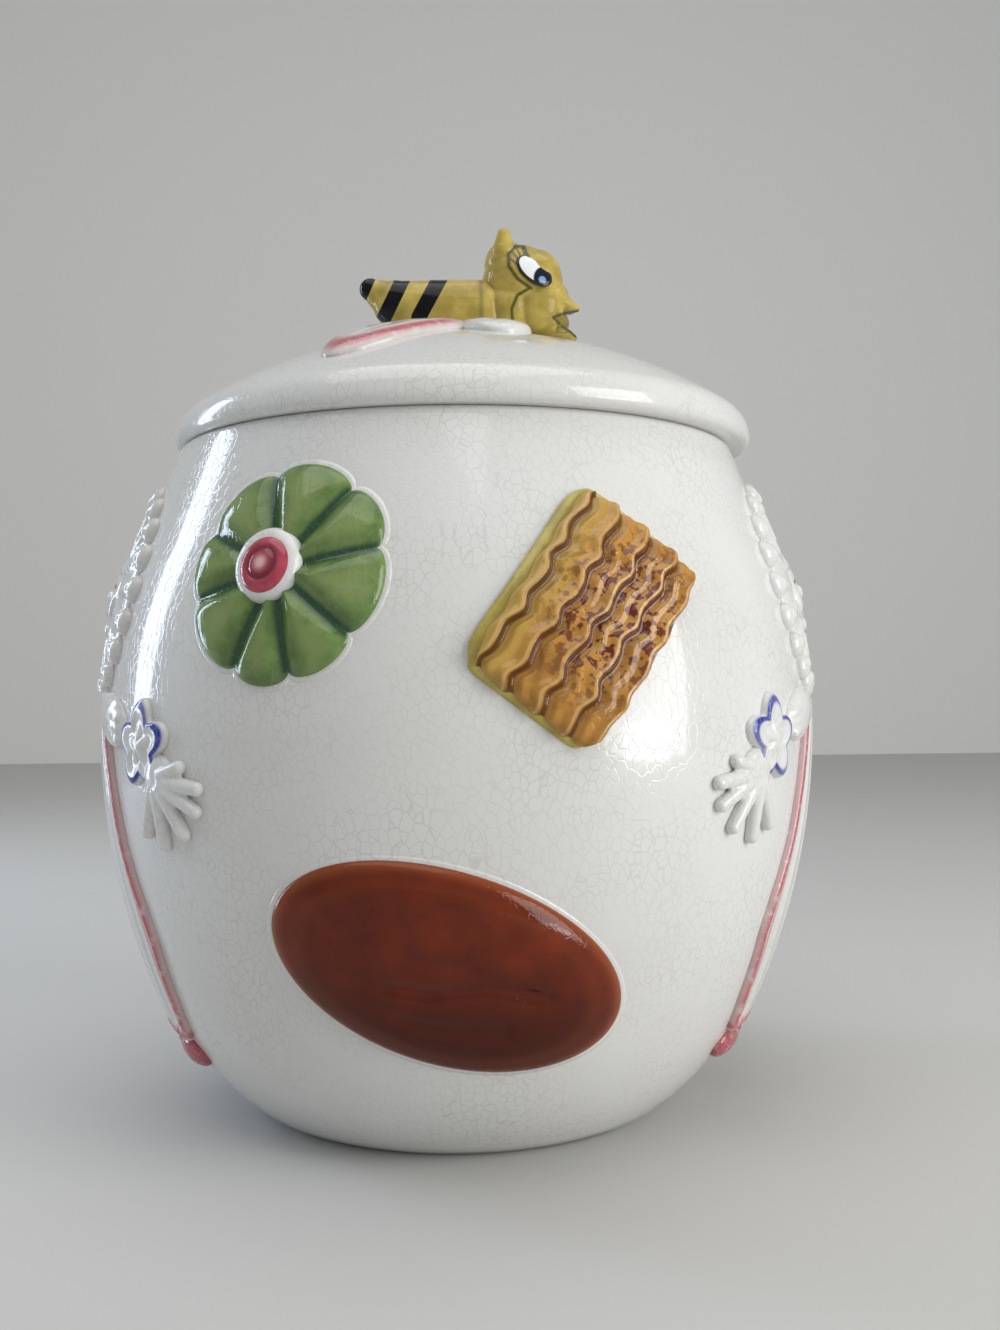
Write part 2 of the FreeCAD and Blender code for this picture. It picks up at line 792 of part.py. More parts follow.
def oval_biscuit():
    outline = Part.Face(ellipse_wire(size("oval_length"), size("oval_width"), size("oval_tilt")))
    oval = relief(outline, size("oval_azimuth"), size("oval_height"), size("oval_relief"))
    add_relief("oval_biscuit", soften(oval, size("oval_relief"), size("oval_round")))


# Reliefs on the sides: a doll with a bonnet, ringlets and a long gown on each side

FINGER_TURNS = (-20.0, -48.0, -74.0, -98.0, -122.0)


def gown_face():
    """The gown's outline, widest at the hips."""
    top = size("gown_top")
    hem = size("gown_hem")
    edge = [
        V(size("gown_shoulder") / 2, top, 0),
        V(size("gown_waist") / 2, (2 * top + hem) / 3, 0),
        V(size("gown_hip") / 2, (top + 2 * hem) / 3, 0),
        V(size("gown_hem_width") / 2, hem, 0),
    ]
    mirrored = [V(-point.x, point.y, 0) for point in reversed(edge)]
    right = Part.BSplineCurve()
    right.interpolate(edge)
    left = Part.BSplineCurve()
    left.interpolate(mirrored)
    low = Part.LineSegment(edge[-1], mirrored[0])
    high = Part.LineSegment(mirrored[-1], edge[0])
    return Part.Face(Part.Wire([curve.toShape() for curve in (right, low, left, high)]))


def curl_faces():
    """The ringlets, seen as a ring of discs round the bonnet."""
    half_width = size("bonnet_width") / 2
    half_length = size("bonnet_length") / 2
    count = max(3, int(math.pi * (half_width + half_length) / size("curl_pitch")))
    discs = []
    for number in range(count):
        turn = 2 * math.pi * number / count
        middle = (half_width * math.cos(turn), size("head_height") + half_length * math.sin(turn))
        discs.append(disc(size("curl_radius"), middle))
    return Part.makeCompound(discs)


def cuff_face():
    """A frilled cuff, a ring of scallops."""
    points = []
    count = int(size("cuff_points"))
    radius = size("cuff_radius")
    for number in range(count):
        turn = 90 + number * 360 / count
        points.append(polar(radius - size("cuff_point_depth"), turn - 180 / count))
        points.append(polar(radius, turn))
    return Part.Face(arcs_wire(points))


def hand_face(side):
    """A palm with five spread fingers; side mirrors it."""
    fingers = []
    reach = size("palm_radius") + size("finger_length") / 2 - size("finger_width") / 2
    for turn in FINGER_TURNS:
        direction = turn if side > 0 else 180 - turn
        middle = polar(reach, direction)
        wire = ellipse_wire(size("finger_length"), size("finger_width"), direction, (middle.x, middle.y))
        fingers.append(Part.Face(wire))
    return disc(size("palm_radius")).fuse(fingers).removeSplitter()


def doll(word, centre):
    """Adds one doll's reliefs, drawn about its own azimuth."""
    head = size("head_height")
    top = size("gown_top")
    face = Part.Face(ellipse_wire(size("face_width"), size("face_length"), 0.0, (0.0, head)))
    cap = Part.Face(ellipse_wire(size("bonnet_width"), size("bonnet_length"), 0.0, (0.0, head)))
    curls = curl_faces()
    bonnet = cap.cut(curls).cut(face)
    sleeves = []
    shoes = []
    cuffs = []
    hands = []
    over = []
    for side in (-1, 1):
        middle = (side * size("sleeve_reach"), (top + size("cuff_height")) / 2)
        wire = ellipse_wire(size("sleeve_length"), size("sleeve_width"), -side * size("sleeve_droop"), middle)
        sleeves.append(Part.Face(wire))
        place = (side * size("shoe_reach"), size("shoe_height"))
        shoes.append(Part.Face(ellipse_wire(size("shoe_length"), size("shoe_width"), 0.0, place)))
        cuff_azimuth = centre + side * math.degrees(size("cuff_reach") / size("belly_radius"))
        hand_azimuth = centre + side * math.degrees(size("hand_reach") / size("belly_radius"))
        cuff_bar = prism(cuff_face(), cuff_azimuth, size("cuff_height"))
        hand_bar = prism(hand_face(side), hand_azimuth, size("cuff_height") - size("hand_drop"))
        cuffs.append(cuff_bar.common(band(size("cuff_relief"), cuff_azimuth)))
        hands.append(hand_bar.common(band(size("hand_relief"), hand_azimuth)).cut(cuff_bar))
        over.extend([cuff_bar, hand_bar])
    covered = [cap, curls, *sleeves, *shoes]
    gown = gown_face().cut(covered)
    sleeve_faces = Part.makeCompound([sleeve.cut([cap, curls]) for sleeve in sleeves])
    pieces = {
        "face": soften(relief(face, centre, 0.0, size("face_relief")), size("face_relief"), size("face_round")),
        "bonnet": relief(bonnet, centre, 0.0, size("bonnet_relief")),
        "ringlets": relief(curls, centre, 0.0, size("curl_relief")),
        "gown": relief(gown, centre, 0.0, size("gown_relief")).cut(over),
        "sleeves": relief(sleeve_faces, centre, 0.0, size("sleeve_relief")).cut(over),
        "shoes": relief(Part.makeCompound(shoes), centre, 0.0, size("shoe_relief")),
        "cuffs": Part.makeCompound(cuffs),
        "hands": Part.makeCompound(hands),
    }
    for name, shape in pieces.items():
        add_relief(f"{word}_{name}", shape)


# Bee, seated on the dome

DOME_MIDDLE = V(LID_SHIFT, 0, DOME_CENTRE[1])


def add_object(kind, name, label=None, **sizes):
    """A Part primitive or boolean whose sizes follow the sheet."""
    item = doc.addObject(kind, name)
    item.Label = label or name
    for prop, expression in sizes.items():
        item.setExpression(prop, expression)
    return item


def ellipsoid(name, length, width, depth, place):
    """An ellipsoid with its three sizes along X, Y and Z."""
    item = add_object(
        "Part::Ellipsoid",
        name,
        Radius2=f"dims.{length} / 2",
        Radius3=f"dims.{width} / 2",
        Radius1=f"dims.{depth} / 2",
    )
    item.Placement.Base = place
    return item


def cut_object(name, base, tool, label=None):
    item = add_object("Part::Cut", name, label)
    item.Base = base
    item.Tool = tool
    if label:
        NODES[label] = item
    return item


def abdomen_loft():
    """The bee's body, a loft through circles that narrow towards a raised tail."""
    body = new_body("bee_body")
    stations = ("thorax", "waist", "rump", "tail")
    sections = []
    for name in stations:
        sketch = sketch_on(body, f"{name}_section", "YZ_Plane")
        radius = size(f"{name}_radius")
        back = size("tail_tip_height") if name == "tail" else size("bee_back_height")
        back_name = "tail_tip_height" if name == "tail" else "bee_back_height"
        sketch.setExpression("AttachmentOffset.Base.z", f"dims.{name}_x")
        sketch.addGeometry(Part.Circle(V(0, back - radius, 0), UP, radius))
        bind(sketch, "Radius", (0,), radius, f"dims.{name}_radius")
        middle = f"dims.{back_name} - dims.{name}_radius"
        bind(sketch, "DistanceY", (*SKETCH_ORIGIN, 0, CENTRE), back - radius, middle)
        sketch.addConstraint(Sketcher.Constraint("PointOnObject", 0, CENTRE, SKETCH_UPRIGHT))
        sections.append(sketch)
    loft = body.newObject("PartDesign::AdditiveLoft", "body_loft")
    loft.Profile = sections[0]
    loft.Sections = sections[1:]
    doc.recompute()
    tail = [
        f"Edge{number}"
        for number, edge in enumerate(loft.Shape.Edges, start=1)
        if abs(edge.BoundBox.XMax - size("tail_x")) < SAME_OFFSET
    ]
    round_edges(body, "tail_rounding", loft, tail, "dims.tail_round")
    return body


def wing_face(side):
    """Fore and hind wing, seen from above."""
    wings = []
    for name in ("hind_wing", "fore_wing"):
        middle = (size(f"{name}_x"), side * size(f"{name}_y"))
        sweep = side * -size(f"{name}_sweep")
        wire = ellipse_wire(size(f"{name}_length"), size(f"{name}_width"), sweep, middle)
        wings.append(Part.Face(wire))
    return wings[0].fuse(wings[1]).removeSplitter()


def bee():
    dome = add_object("Part::Sphere", "dome_ball", Radius="dims.dome_arc")
    dome.Placement.Base = DOME_MIDDLE
    loft = abdomen_loft()
    cut_object("abdomen_seated", loft, dome, "bee_abdomen")
    skull = ellipsoid(
        "skull", "head_length", "head_width", "head_depth", V(size("head_x"), 0, size("head_middle"))
    )
    snout = ellipsoid(
        "snout", "snout_length", "snout_width", "snout_depth", V(size("snout_x"), 0, size("snout_middle"))
    )
    jaw = ellipsoid("jaw", "jaw_length", "jaw_width", "jaw_depth", V(size("jaw_x"), 0, size("jaw_middle")))
    whole_head = add_object("Part::MultiFuse", "whole_head")
    whole_head.Shapes = [skull, snout, jaw]
    head_seated = cut_object("head_seated", whole_head, dome)
    cut_object("head_joined", head_seated, loft, "bee_head")
    eyes = []
    horns = []
    for side in (-1, 1):
        reach = size("head_width") / 2
        rise = (size("eye_middle") - size("head_middle")) / (size("head_depth") / 2)
        ahead = (size("eye_x") - size("head_x")) / (size("head_length") / 2)
        surface = reach * math.sqrt(max(0.0, 1 - rise**2 - ahead**2))
        eye = add_object(
            "Part::Ellipsoid",
            f"eye_{'left' if side > 0 else 'right'}",
            Radius1="dims.eye_length / 2",
            Radius2="dims.eye_width / 2",
            Radius3="dims.eye_depth",
        )
        out = surface + size("eye_bulge") - size("eye_depth")
        eye.Placement.Base = V(size("eye_x"), side * out, size("eye_middle"))
        eyes.append(eye)
        horn = add_object(
            "Part::Cone",
            f"horn_{'left' if side > 0 else 'right'}",
            Radius1="dims.antenna_base_radius",
            Radius2="dims.antenna_tip_radius",
            Height="dims.antenna_length",
        )
        horn.Placement.Base = V(
            size("antenna_x"), side * size("antenna_spread") / 2, size("antenna_top") - size("antenna_length")
        )
        horns.append(horn)
    both_eyes = add_object("Part::MultiFuse", "both_eyes")
    both_eyes.Shapes = eyes
    both_horns = add_object("Part::MultiFuse", "both_horns")
    both_horns.Shapes = horns
    doc.recompute()
    cut_object("eyes_seated", both_eyes, whole_head, "bee_eyes")
    cut_object("antennae_seated", both_horns, whole_head, "bee_antennae")
    doc.recompute()
    outer = Part.makeSphere(size("dome_arc") + size("wing_relief"), DOME_MIDDLE)
    shell = outer.cut(dome.Shape)
    for side, word in ((-1, "right"), (1, "left")):
        bar = wing_face(side).extrude(V(0, 0, DOME_TOP + size("wing_relief")))
        wing = bar.common(shell).cut([loft.Shape, whole_head.Shape])
        wing = max(wing.Solids, key=lambda solid: solid.BoundBox.ZMax)
        add_relief(f"bee_wing_{word}", wing)


for build in (jar_body, lid_shell):
    piece = build()
    NODES[piece.Label] = piece
flower()
wafer()
oval_biscuit()
doll("left", -size("doll_azimuth"))
doll("right", size("doll_azimuth"))
bee()
doc.recompute()

for item in doc.Objects:
    if "Invalid" in item.State or "Error" in item.State:
        raise RuntimeError(f"{item.Name} has failed: {item.State}")
for name, item in NODES.items():
    if item.Shape.isNull() or not item.Shape.isValid() or not item.Shape.Solids:
        raise RuntimeError(f"{name} has no valid solid")

os.makedirs("parts", exist_ok=True)
for name, item in NODES.items():
    item.Shape.exportStep(f"parts/{name}.step")
    print(name, len(item.Shape.Solids), "solids", round(item.Shape.Volume), "mm3")
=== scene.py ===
# %% [markdown]
# # A glazed biscuit jar with a bee on its lid
# The jar is white earthenware: a slip-cast barrel, a loose domed lid, and lumps of clay that were
# pressed in moulds, luted on and painted before one clear glaze went over everything. The packed
# model gives the places and sizes; this script gives the pottery its soft edges, colours and gloss.

# %% The frame
import math

import bmesh
import bpy
from mathutils import Euler, Matrix, Vector


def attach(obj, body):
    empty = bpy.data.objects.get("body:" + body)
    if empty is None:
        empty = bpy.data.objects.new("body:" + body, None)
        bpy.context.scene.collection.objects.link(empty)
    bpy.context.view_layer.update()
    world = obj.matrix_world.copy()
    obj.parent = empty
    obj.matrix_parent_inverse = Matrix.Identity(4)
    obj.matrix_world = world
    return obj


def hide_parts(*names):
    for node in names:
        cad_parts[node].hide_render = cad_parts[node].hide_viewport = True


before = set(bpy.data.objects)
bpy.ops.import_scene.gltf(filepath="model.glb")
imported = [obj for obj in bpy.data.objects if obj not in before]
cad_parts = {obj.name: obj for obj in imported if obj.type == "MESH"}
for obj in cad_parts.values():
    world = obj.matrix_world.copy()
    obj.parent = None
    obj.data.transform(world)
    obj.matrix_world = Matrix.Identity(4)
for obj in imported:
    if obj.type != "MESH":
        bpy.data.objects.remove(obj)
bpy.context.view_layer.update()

MM = 0.001

# %% [markdown]
# ## The barrel's outline
# A pot turned or cast in a mould has an outline of a few arcs that flow into each other. The wall
# here is three arcs and a straight shoulder, so the radius and the lean of the wall at any height
# come from a formula. The reliefs are laid on the wall with it, so they sit on it from every side.

# %% The wall as a formula
BELLY = (96.58, 104.0)
MOUTH = 180.0
LOWER_ARC, UPPER_ARC, FOOT_ARC = 180.0, 130.0, 73.0
FOOT_RADIUS = 54.7
LEAN = math.radians(20.8)
LOWER_CENTRE = (BELLY[0] - LOWER_ARC, BELLY[1])
UPPER_CENTRE = (BELLY[0] - UPPER_ARC, BELLY[1])


def foot_arc_centre():
    """The foot arc touches the lower arc from inside and ends on the table at the foot's radius."""
    reach = LOWER_ARC - FOOT_ARC
    across = FOOT_RADIUS - LOWER_CENTRE[0]
    span = math.hypot(across, BELLY[1])
    cosine = (span**2 + reach**2 - FOOT_ARC**2) / (2 * reach * span)
    turn = math.atan2(BELLY[1], across) - math.acos(cosine)
    return (LOWER_CENTRE[0] + reach * math.cos(turn), LOWER_CENTRE[1] - reach * math.sin(turn)), turn


FOOT_CENTRE, FOOT_TURN = foot_arc_centre()
FOOT_TOP = FOOT_CENTRE[1] - FOOT_ARC * math.sin(FOOT_TURN)
CONE_START = (UPPER_CENTRE[0] + UPPER_ARC * math.cos(LEAN), UPPER_CENTRE[1] + UPPER_ARC * math.sin(LEAN))


def wall(z):
    """Radius of the outer wall at height z, in mm, and the lean of its outward normal in radians."""
    if z > CONE_START[1]:
        return CONE_START[0] - (z - CONE_START[1]) * math.tan(LEAN), LEAN
    if z > BELLY[1]:
        centre, arc = UPPER_CENTRE, UPPER_ARC
    elif z > FOOT_TOP:
        centre, arc = LOWER_CENTRE, LOWER_ARC
    else:
        centre, arc = FOOT_CENTRE, FOOT_ARC
    rise = max(-0.999, min(0.999, (z - centre[1]) / arc))
    return centre[0] + arc * math.sqrt(1 - rise**2), math.asin(rise)


def on_wall(azimuth, x, z, out):
    """The point x mm to the right of an azimuth in degrees, at height z, standing out mm off the wall."""
    radius, lean = wall(z)
    turn = math.radians(azimuth) + math.asin(max(-0.98, min(0.98, x / radius)))
    reach = radius + out * math.cos(lean)
    return Vector((reach * math.sin(turn), -reach * math.cos(turn), z + out * math.sin(lean))) * MM


print("wall radius at the belly and at the mouth:", wall(BELLY[1])[0], round(wall(MOUTH)[0], 1))

# %% [markdown]
# ## Finishes
# Every colour on the jar is a ceramic stain under one clear, lead-bright glaze. The eye gets three
# things from such a glaze: sharp reflections, soft edges where a stain bled, and crazing, the fine
# net of cracks that old earthenware glaze shows. One helper adds a node; the rest is plain wiring.

# %% A helper for colours and one for nodes


def hex_colour(text):
    """An sRGB hex colour as the linear colour that the shader wants."""
    parts = [int(text[i : i + 2], 16) / 255 for i in (1, 3, 5)]
    linear = [c / 12.92 if c <= 0.04045 else ((c + 0.055) / 1.055) ** 2.4 for c in parts]
    return (*linear, 1.0)


def add_node(tree, kind, inputs=None, **settings):
    """Adds a node. An input's value is a number, a colour or another node's output to link."""
    item = tree.nodes.new(kind)
    for name, value in settings.items():
        setattr(item, name, value)
    for name, value in (inputs or {}).items():
        if isinstance(value, bpy.types.NodeSocket):
            tree.links.new(value, item.inputs[name])
        else:
            item.inputs[name].default_value = value
    return item


# %% [markdown]
# ### Crazing
# Crazing is a net of cracks in the glass of the glaze, with cells 1 to 3 mm across. Voronoi cells
# measured by the distance to their edge draw just such a net, and a little noise bends the straight
# edges. The cracks are about 0.1 mm wide, too fine for the picture, so they are drawn wider.

# %% The glaze that goes over everything
CRAZE_CELL = 2.2
# The glaze ran downwards, so the cells are drawn out that way
CRAZE_DRAWN_OUT = 0.7
CRAZE_WIDTH = 0.16
CRAZE_BEND = 0.0009
CRAZE_TINT = "#bfbab0"
RIPPLE = 0.05
GLAZE_IOR = 1.52
GLAZE_ROUGHNESS = 0.07


def mix(tree, factor, first, second):
    """The first colour where the factor is 0, and the second where it is 1."""
    item = add_node(tree, "ShaderNodeMix", {"Factor": factor, "A": first, "B": second}, data_type="RGBA")
    return item.outputs["Result"]


def times(tree, first, second):
    return add_node(tree, "ShaderNodeMath", {0: first, 1: second}, operation="MULTIPLY").outputs["Value"]


def cloud(tree, coordinates, size_mm, detail, output="Fac"):
    """Noise with lumps of about this size."""
    inputs = {"Vector": coordinates, "Scale": 1 / (size_mm * MM), "Detail": detail}
    return add_node(tree, "ShaderNodeTexNoise", inputs).outputs[output]


def craze_mask(tree, coordinates):
    """1 on a crack of the crazing and 0 between cracks."""
    bend = cloud(tree, coordinates, 3, 2.0, "Color")
    mixed = add_node(
        tree,
        "ShaderNodeMix",
        {"Factor": CRAZE_BEND, "A": coordinates, "B": bend},
        data_type="VECTOR",
    )
    drawn = add_node(
        tree,
        "ShaderNodeVectorMath",
        {0: mixed.outputs["Result"], 1: (1.0, 1.0, CRAZE_DRAWN_OUT)},
        operation="MULTIPLY",
    )
    cells = add_node(
        tree,
        "ShaderNodeTexVoronoi",
        {"Vector": drawn.outputs["Vector"], "Scale": 1 / (CRAZE_CELL * MM)},
        feature="DISTANCE_TO_EDGE",
    )
    line = add_node(
        tree,
        "ShaderNodeMapRange",
        {
            "Value": cells.outputs["Distance"],
            "From Min": 0.0,
            "From Max": CRAZE_WIDTH / CRAZE_CELL,
            "To Min": 1.0,
            "To Max": 0.0,
        },
    )
    return line.outputs["Result"]


def glaze(name, paint, craze_strength=0.5, shine=0.5):
    """A stain under clear glaze. paint(tree, coordinates) gives the colour socket of the stain."""
    material = bpy.data.materials.new(name)
    material.use_nodes = True
    tree = material.node_tree
    tree.nodes.clear()
    coordinates = add_node(tree, "ShaderNodeTexCoord").outputs["Object"]
    colour = paint(tree, coordinates)
    cracks = craze_mask(tree, coordinates)
    patches = cloud(tree, coordinates, 22, 3.0)
    shown = add_node(
        tree,
        "ShaderNodeMapRange",
        {"Value": patches, "From Min": 0.35, "From Max": 0.65, "To Max": craze_strength},
    )
    tinted = mix(tree, times(tree, cracks, shown.outputs["Result"]), colour, hex_colour(CRAZE_TINT))
    ripple = cloud(tree, coordinates, 9, 2.0)
    soft = add_node(
        tree,
        "ShaderNodeBump",
        {"Height": ripple, "Strength": RIPPLE, "Distance": 0.6 * MM},
    )
    cut = add_node(
        tree,
        "ShaderNodeBump",
        {"Height": cracks, "Strength": 0.35, "Distance": 0.04 * MM, "Normal": soft.outputs["Normal"]},
        invert=True,
    )
    shader = add_node(
        tree,
        "ShaderNodeBsdfPrincipled",
        {
            "Base Color": tinted,
            "Roughness": GLAZE_ROUGHNESS,
            "IOR": GLAZE_IOR,
            "Specular IOR Level": shine,
            "Normal": cut.outputs["Normal"],
        },
    )
    add_node(tree, "ShaderNodeOutputMaterial", {"Surface": shader.outputs["BSDF"]})
    return material


# %% [markdown]
# ### Stains
# A stain that was brushed on is never even. Each recipe below mixes a few hex colours by noise or by
# an attribute that the mesh carries, such as how deep a point lies in a groove, where the petals and
# the wafer are darkened as painted shade.

# %% Recipes for stains


def blotches(tree, coordinates, size_mm, low=0.4, high=0.6):
    """Soft patches of about this size, from 0 to 1."""
    patches = cloud(tree, coordinates, size_mm, 3.0)
    level = add_node(tree, "ShaderNodeMapRange", {"Value": patches, "From Min": low, "From Max": high})
    return level.outputs["Result"]


def mask(tree, name, low=0.0, high=1.0):
    """An attribute of the mesh, stretched so that low gives 0 and high gives 1."""
    found = add_node(tree, "ShaderNodeAttribute", attribute_name=name)
    level = add_node(
        tree,
        "ShaderNodeMapRange",
        {"Value": found.outputs["Fac"], "From Min": low, "From Max": high},
        interpolation_type="SMOOTHSTEP",
    )
    return level.outputs["Result"]


WHITE_STAINS = {"rose": "#b9525f", "cobalt": "#20359a", "ink": "#262220"}


def white_paint(tree, coordinates):
    """White slip, with any rose, cobalt or black that was brushed on and left as an attribute."""
    warm = blotches(tree, coordinates, 60, 0.35, 0.65)
    colour = mix(tree, warm, hex_colour("#e1e1df"), hex_colour("#dbdad6"))
    streaks = blotches(tree, coordinates, 2.5, 0.15, 0.45)
    for name, stain in WHITE_STAINS.items():
        density = 1.0 if name in ("cobalt", "ink") else streaks
        colour = mix(tree, times(tree, mask(tree, name), density), colour, hex_colour(stain))
    return colour


def green_paint(tree, coordinates):
    leaf = mix(tree, blotches(tree, coordinates, 5), hex_colour("#728a4c"), hex_colour("#5b773f"))
    # Painted highlight on the petals' swells, then painted shade in the valleys
    leaf = mix(tree, mask(tree, "ridge", 0.2, 1.0), leaf, hex_colour("#87985c"))
    return mix(tree, mask(tree, "groove", 0.05, 0.9), leaf, hex_colour("#2c4f33"))


def cherry_paint(tree, coordinates):
    red = mix(tree, blotches(tree, coordinates, 3), hex_colour("#b8485a"), hex_colour("#a83a4e"))
    ringed = mix(tree, mask(tree, "groove"), red, hex_colour("#7c2233"))
    return mix(tree, mask(tree, "spot"), ringed, hex_colour("#e2b9b4"))


def olive_paint(tree, coordinates):
    return mix(tree, blotches(tree, coordinates, 6), hex_colour("#c8b657"), hex_colour("#ad9c47"))


def wafer_paint(tree, coordinates):
    tan = mix(tree, blotches(tree, coordinates, 7), hex_colour("#c08a3c"), hex_colour("#a87631"))
    tan = mix(tree, mask(tree, "honey"), tan, hex_colour("#c29c4a"))
    # Darker in the grooves: painted shade
    dark = mix(tree, mask(tree, "groove", 0.1, 0.9), tan, hex_colour("#5f3915"))
    speckle = blotches(tree, coordinates, 1.9, 0.50, 0.56)
    speckled = mix(tree, times(tree, speckle, mask(tree, "toast")), dark, hex_colour("#642413"))
    # Paler along each lip: painted highlight
    return mix(tree, mask(tree, "lip"), speckled, hex_colour("#dcb277"))


def chestnut_paint(tree, coordinates):
    clouds = blotches(tree, coordinates, 9, 0.3, 0.7)
    brown = mix(tree, clouds, hex_colour("#73290f"), hex_colour("#5c1f0c"))
    # Darker towards the bottom of the pat
    deep = mix(tree, mask(tree, "low"), brown, hex_colour("#471709"))
    return mix(tree, mask(tree, "rim"), deep, hex_colour("#8f4826"))


def bee_paint(tree, coordinates):
    gold = mix(tree, blotches(tree, coordinates, 6), hex_colour("#c4ad5a"), hex_colour("#a99448"))
    # olive carries the painted lines and, inside the mouth, painted shade
    lined = mix(tree, mask(tree, "olive"), gold, hex_colour("#4d4a26"))
    return mix(tree, mask(tree, "black", 0.35, 0.65), lined, hex_colour("#0a0a0f"))


def eye_paint(tree, coordinates):
    dark = mix(tree, mask(tree, "pupil", 0.4, 0.6), hex_colour("#eceef0"), hex_colour("#12162a"))
    # A pale blue painted highlight in the pupil
    glint = mix(tree, mask(tree, "glint", 0.3, 0.7), dark, hex_colour("#86a0c4"))
    return mix(tree, mask(tree, "outline", 0.4, 0.6), glint, hex_colour("#2b2a1c"))


FINISHES = {
    "white_glaze": glaze("white_tin_glaze", white_paint),
    "green_glaze": glaze("copper_green_under_glaze", green_paint, craze_strength=0.1, shine=0.4),
    "cherry_glaze": glaze("rose_red_under_glaze", cherry_paint, craze_strength=0.0),
    "olive_glaze": glaze("olive_yellow_under_glaze", olive_paint, craze_strength=0.1),
    "wafer_glaze": glaze("toasted_tan_under_glaze", wafer_paint, craze_strength=0.0, shine=0.45),
    "chestnut_glaze": glaze("manganese_brown_under_glaze", chestnut_paint, craze_strength=0.0, shine=0.25),
    "bee_glaze": glaze("mustard_and_black_under_glaze", bee_paint, craze_strength=0.0, shine=0.22),
    "eye_glaze": glaze("painted_eye_under_glaze", eye_paint, craze_strength=0.0, shine=0.35),
    "wing_glaze": glaze("rose_washed_white_glaze", white_paint),
    "cuff_glaze": glaze("cobalt_lined_white_glaze", white_paint),
    "gown_glaze": glaze("rose_lined_white_glaze", white_paint),
    "shoe_glaze": glaze("rose_brown_under_glaze", white_paint),
}
print("finishes:", len(FINISHES))

# %% [markdown]
# ## Turned pieces
# The barrel and the lid are round, so each is half a section spun about its axis. A spin of many
# steps is kept instead of a subdivision surface because gloss shows every flat, and the arcs of the
# section can be given as many points as they need.

# %% Spinning a section


def arc_points(centre, radius, start, end, steps):
    """Points along an arc between two angles in degrees."""
    points = []
    for step in range(steps + 1):
        turn = math.radians(start + (end - start) * step / steps)
        points.append((centre[0] + radius * math.cos(turn), centre[1] + radius * math.sin(turn)))
    return points


def finish_piece(bm, name, slot, body, *replaced):
    """Makes the object, rides it on its body, gives it its finish and hides any nodes it stands for."""
    bmesh.ops.recalc_face_normals(bm, faces=bm.faces)
    mesh = bpy.data.meshes.new(name)
    bm.to_mesh(mesh)
    bm.free()
    mesh.shade_smooth()
    piece = bpy.data.objects.new(name, mesh)
    bpy.context.scene.collection.objects.link(piece)
    mesh.materials.append(FINISHES[slot])
    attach(piece, body)
    if replaced:
        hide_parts(*replaced)
    print(name, len(mesh.polygons), "faces")


def spin_round(bm, geom, axis_x, steps):
    """Sweeps points and lines once round an upright axis."""
    middle = (axis_x, 0, 0)
    bmesh.ops.spin(bm, geom=geom, cent=middle, axis=(0, 0, 1), angle=2 * math.pi, steps=steps, use_merge=True)


def turned(section, axis_x=0.0, steps=320):
    """Spins a section of (radius, height) points in mm about the upright axis at axis_x."""
    bm = bmesh.new()
    verts = [bm.verts.new(Vector((r + axis_x, 0, z)) * MM) for r, z in section]
    edges = [bm.edges.new(pair) for pair in zip(verts, verts[1:])]
    spin_round(bm, verts + edges, axis_x * MM, steps)
    bmesh.ops.remove_doubles(bm, verts=bm.verts, dist=0.001 * MM)
    return bm


# %% [markdown]
# ## The barrel
# Outside, the wall is the formula above. Inside, it is the same outline 5.2 mm further in, up to a
# thicker throat that carries the flat rim. The section runs from the middle of the floor inside, up
# over the rim, down the outside and under the foot ring, so the spun shell is closed.

# %% The barrel's section
WALL = 5.2
FLOOR = 6.5
THROAT = (70.0, 170.0)
LEDGE = 162.0
RIM_ROUND = 2.4
RECESS = 1.6
FOOT_RING = 9.0


def inner_radius(z):
    """Radius of the inside wall at a height below the throat."""
    radius, lean = wall(z)
    return radius - WALL / math.cos(lean)


def barrel_section():
    points = [(0, FLOOR), (30, FLOOR), (52, FLOOR + 0.2), (58, FLOOR + 1.6)]
    steps = 40
    for step in range(steps + 1):
        z = 11 + (LEDGE - 11) * step / steps
        points.append((inner_radius(z), z))
    points.append(THROAT)
    points += arc_points((THROAT[0] + 1, MOUTH - 1), 1, 180, 90, 4)
    rim = wall(MOUTH)[0]
    corner = math.degrees(LEAN)
    inset = RIM_ROUND * math.tan(math.radians((90 - corner) / 2))
    points += arc_points((rim - inset, MOUTH - RIM_ROUND), RIM_ROUND, 90, corner, 8)
    steps = 90
    top = points[-1][1]
    for step in range(1, steps + 1):
        z = top + (2.0 - top) * step / steps
        points.append((wall(z)[0], z))
    points += [(wall(0)[0] + 0.2, 0.9), (wall(0)[0] - 0.9, 0.2), (wall(0)[0] - 2.2, 0)]
    inner = FOOT_RADIUS - FOOT_RING
    points += [(inner + 0.5, 0), (inner, 0.4), (inner - 0.2, RECESS), (inner - 3, RECESS), (0, RECESS)]
    return points


finish_piece(turned(barrel_section()), "barrel", "white_glaze", "jar", "jar_body")

# %% [markdown]
# ## The lid
# The lid is a shallow dome that rolls over at its edge and sits flat on the rim. A flange under it
# drops into the mouth with play all round, and in the photograph the lid has slid a little to the
# right, as a loose lid does.

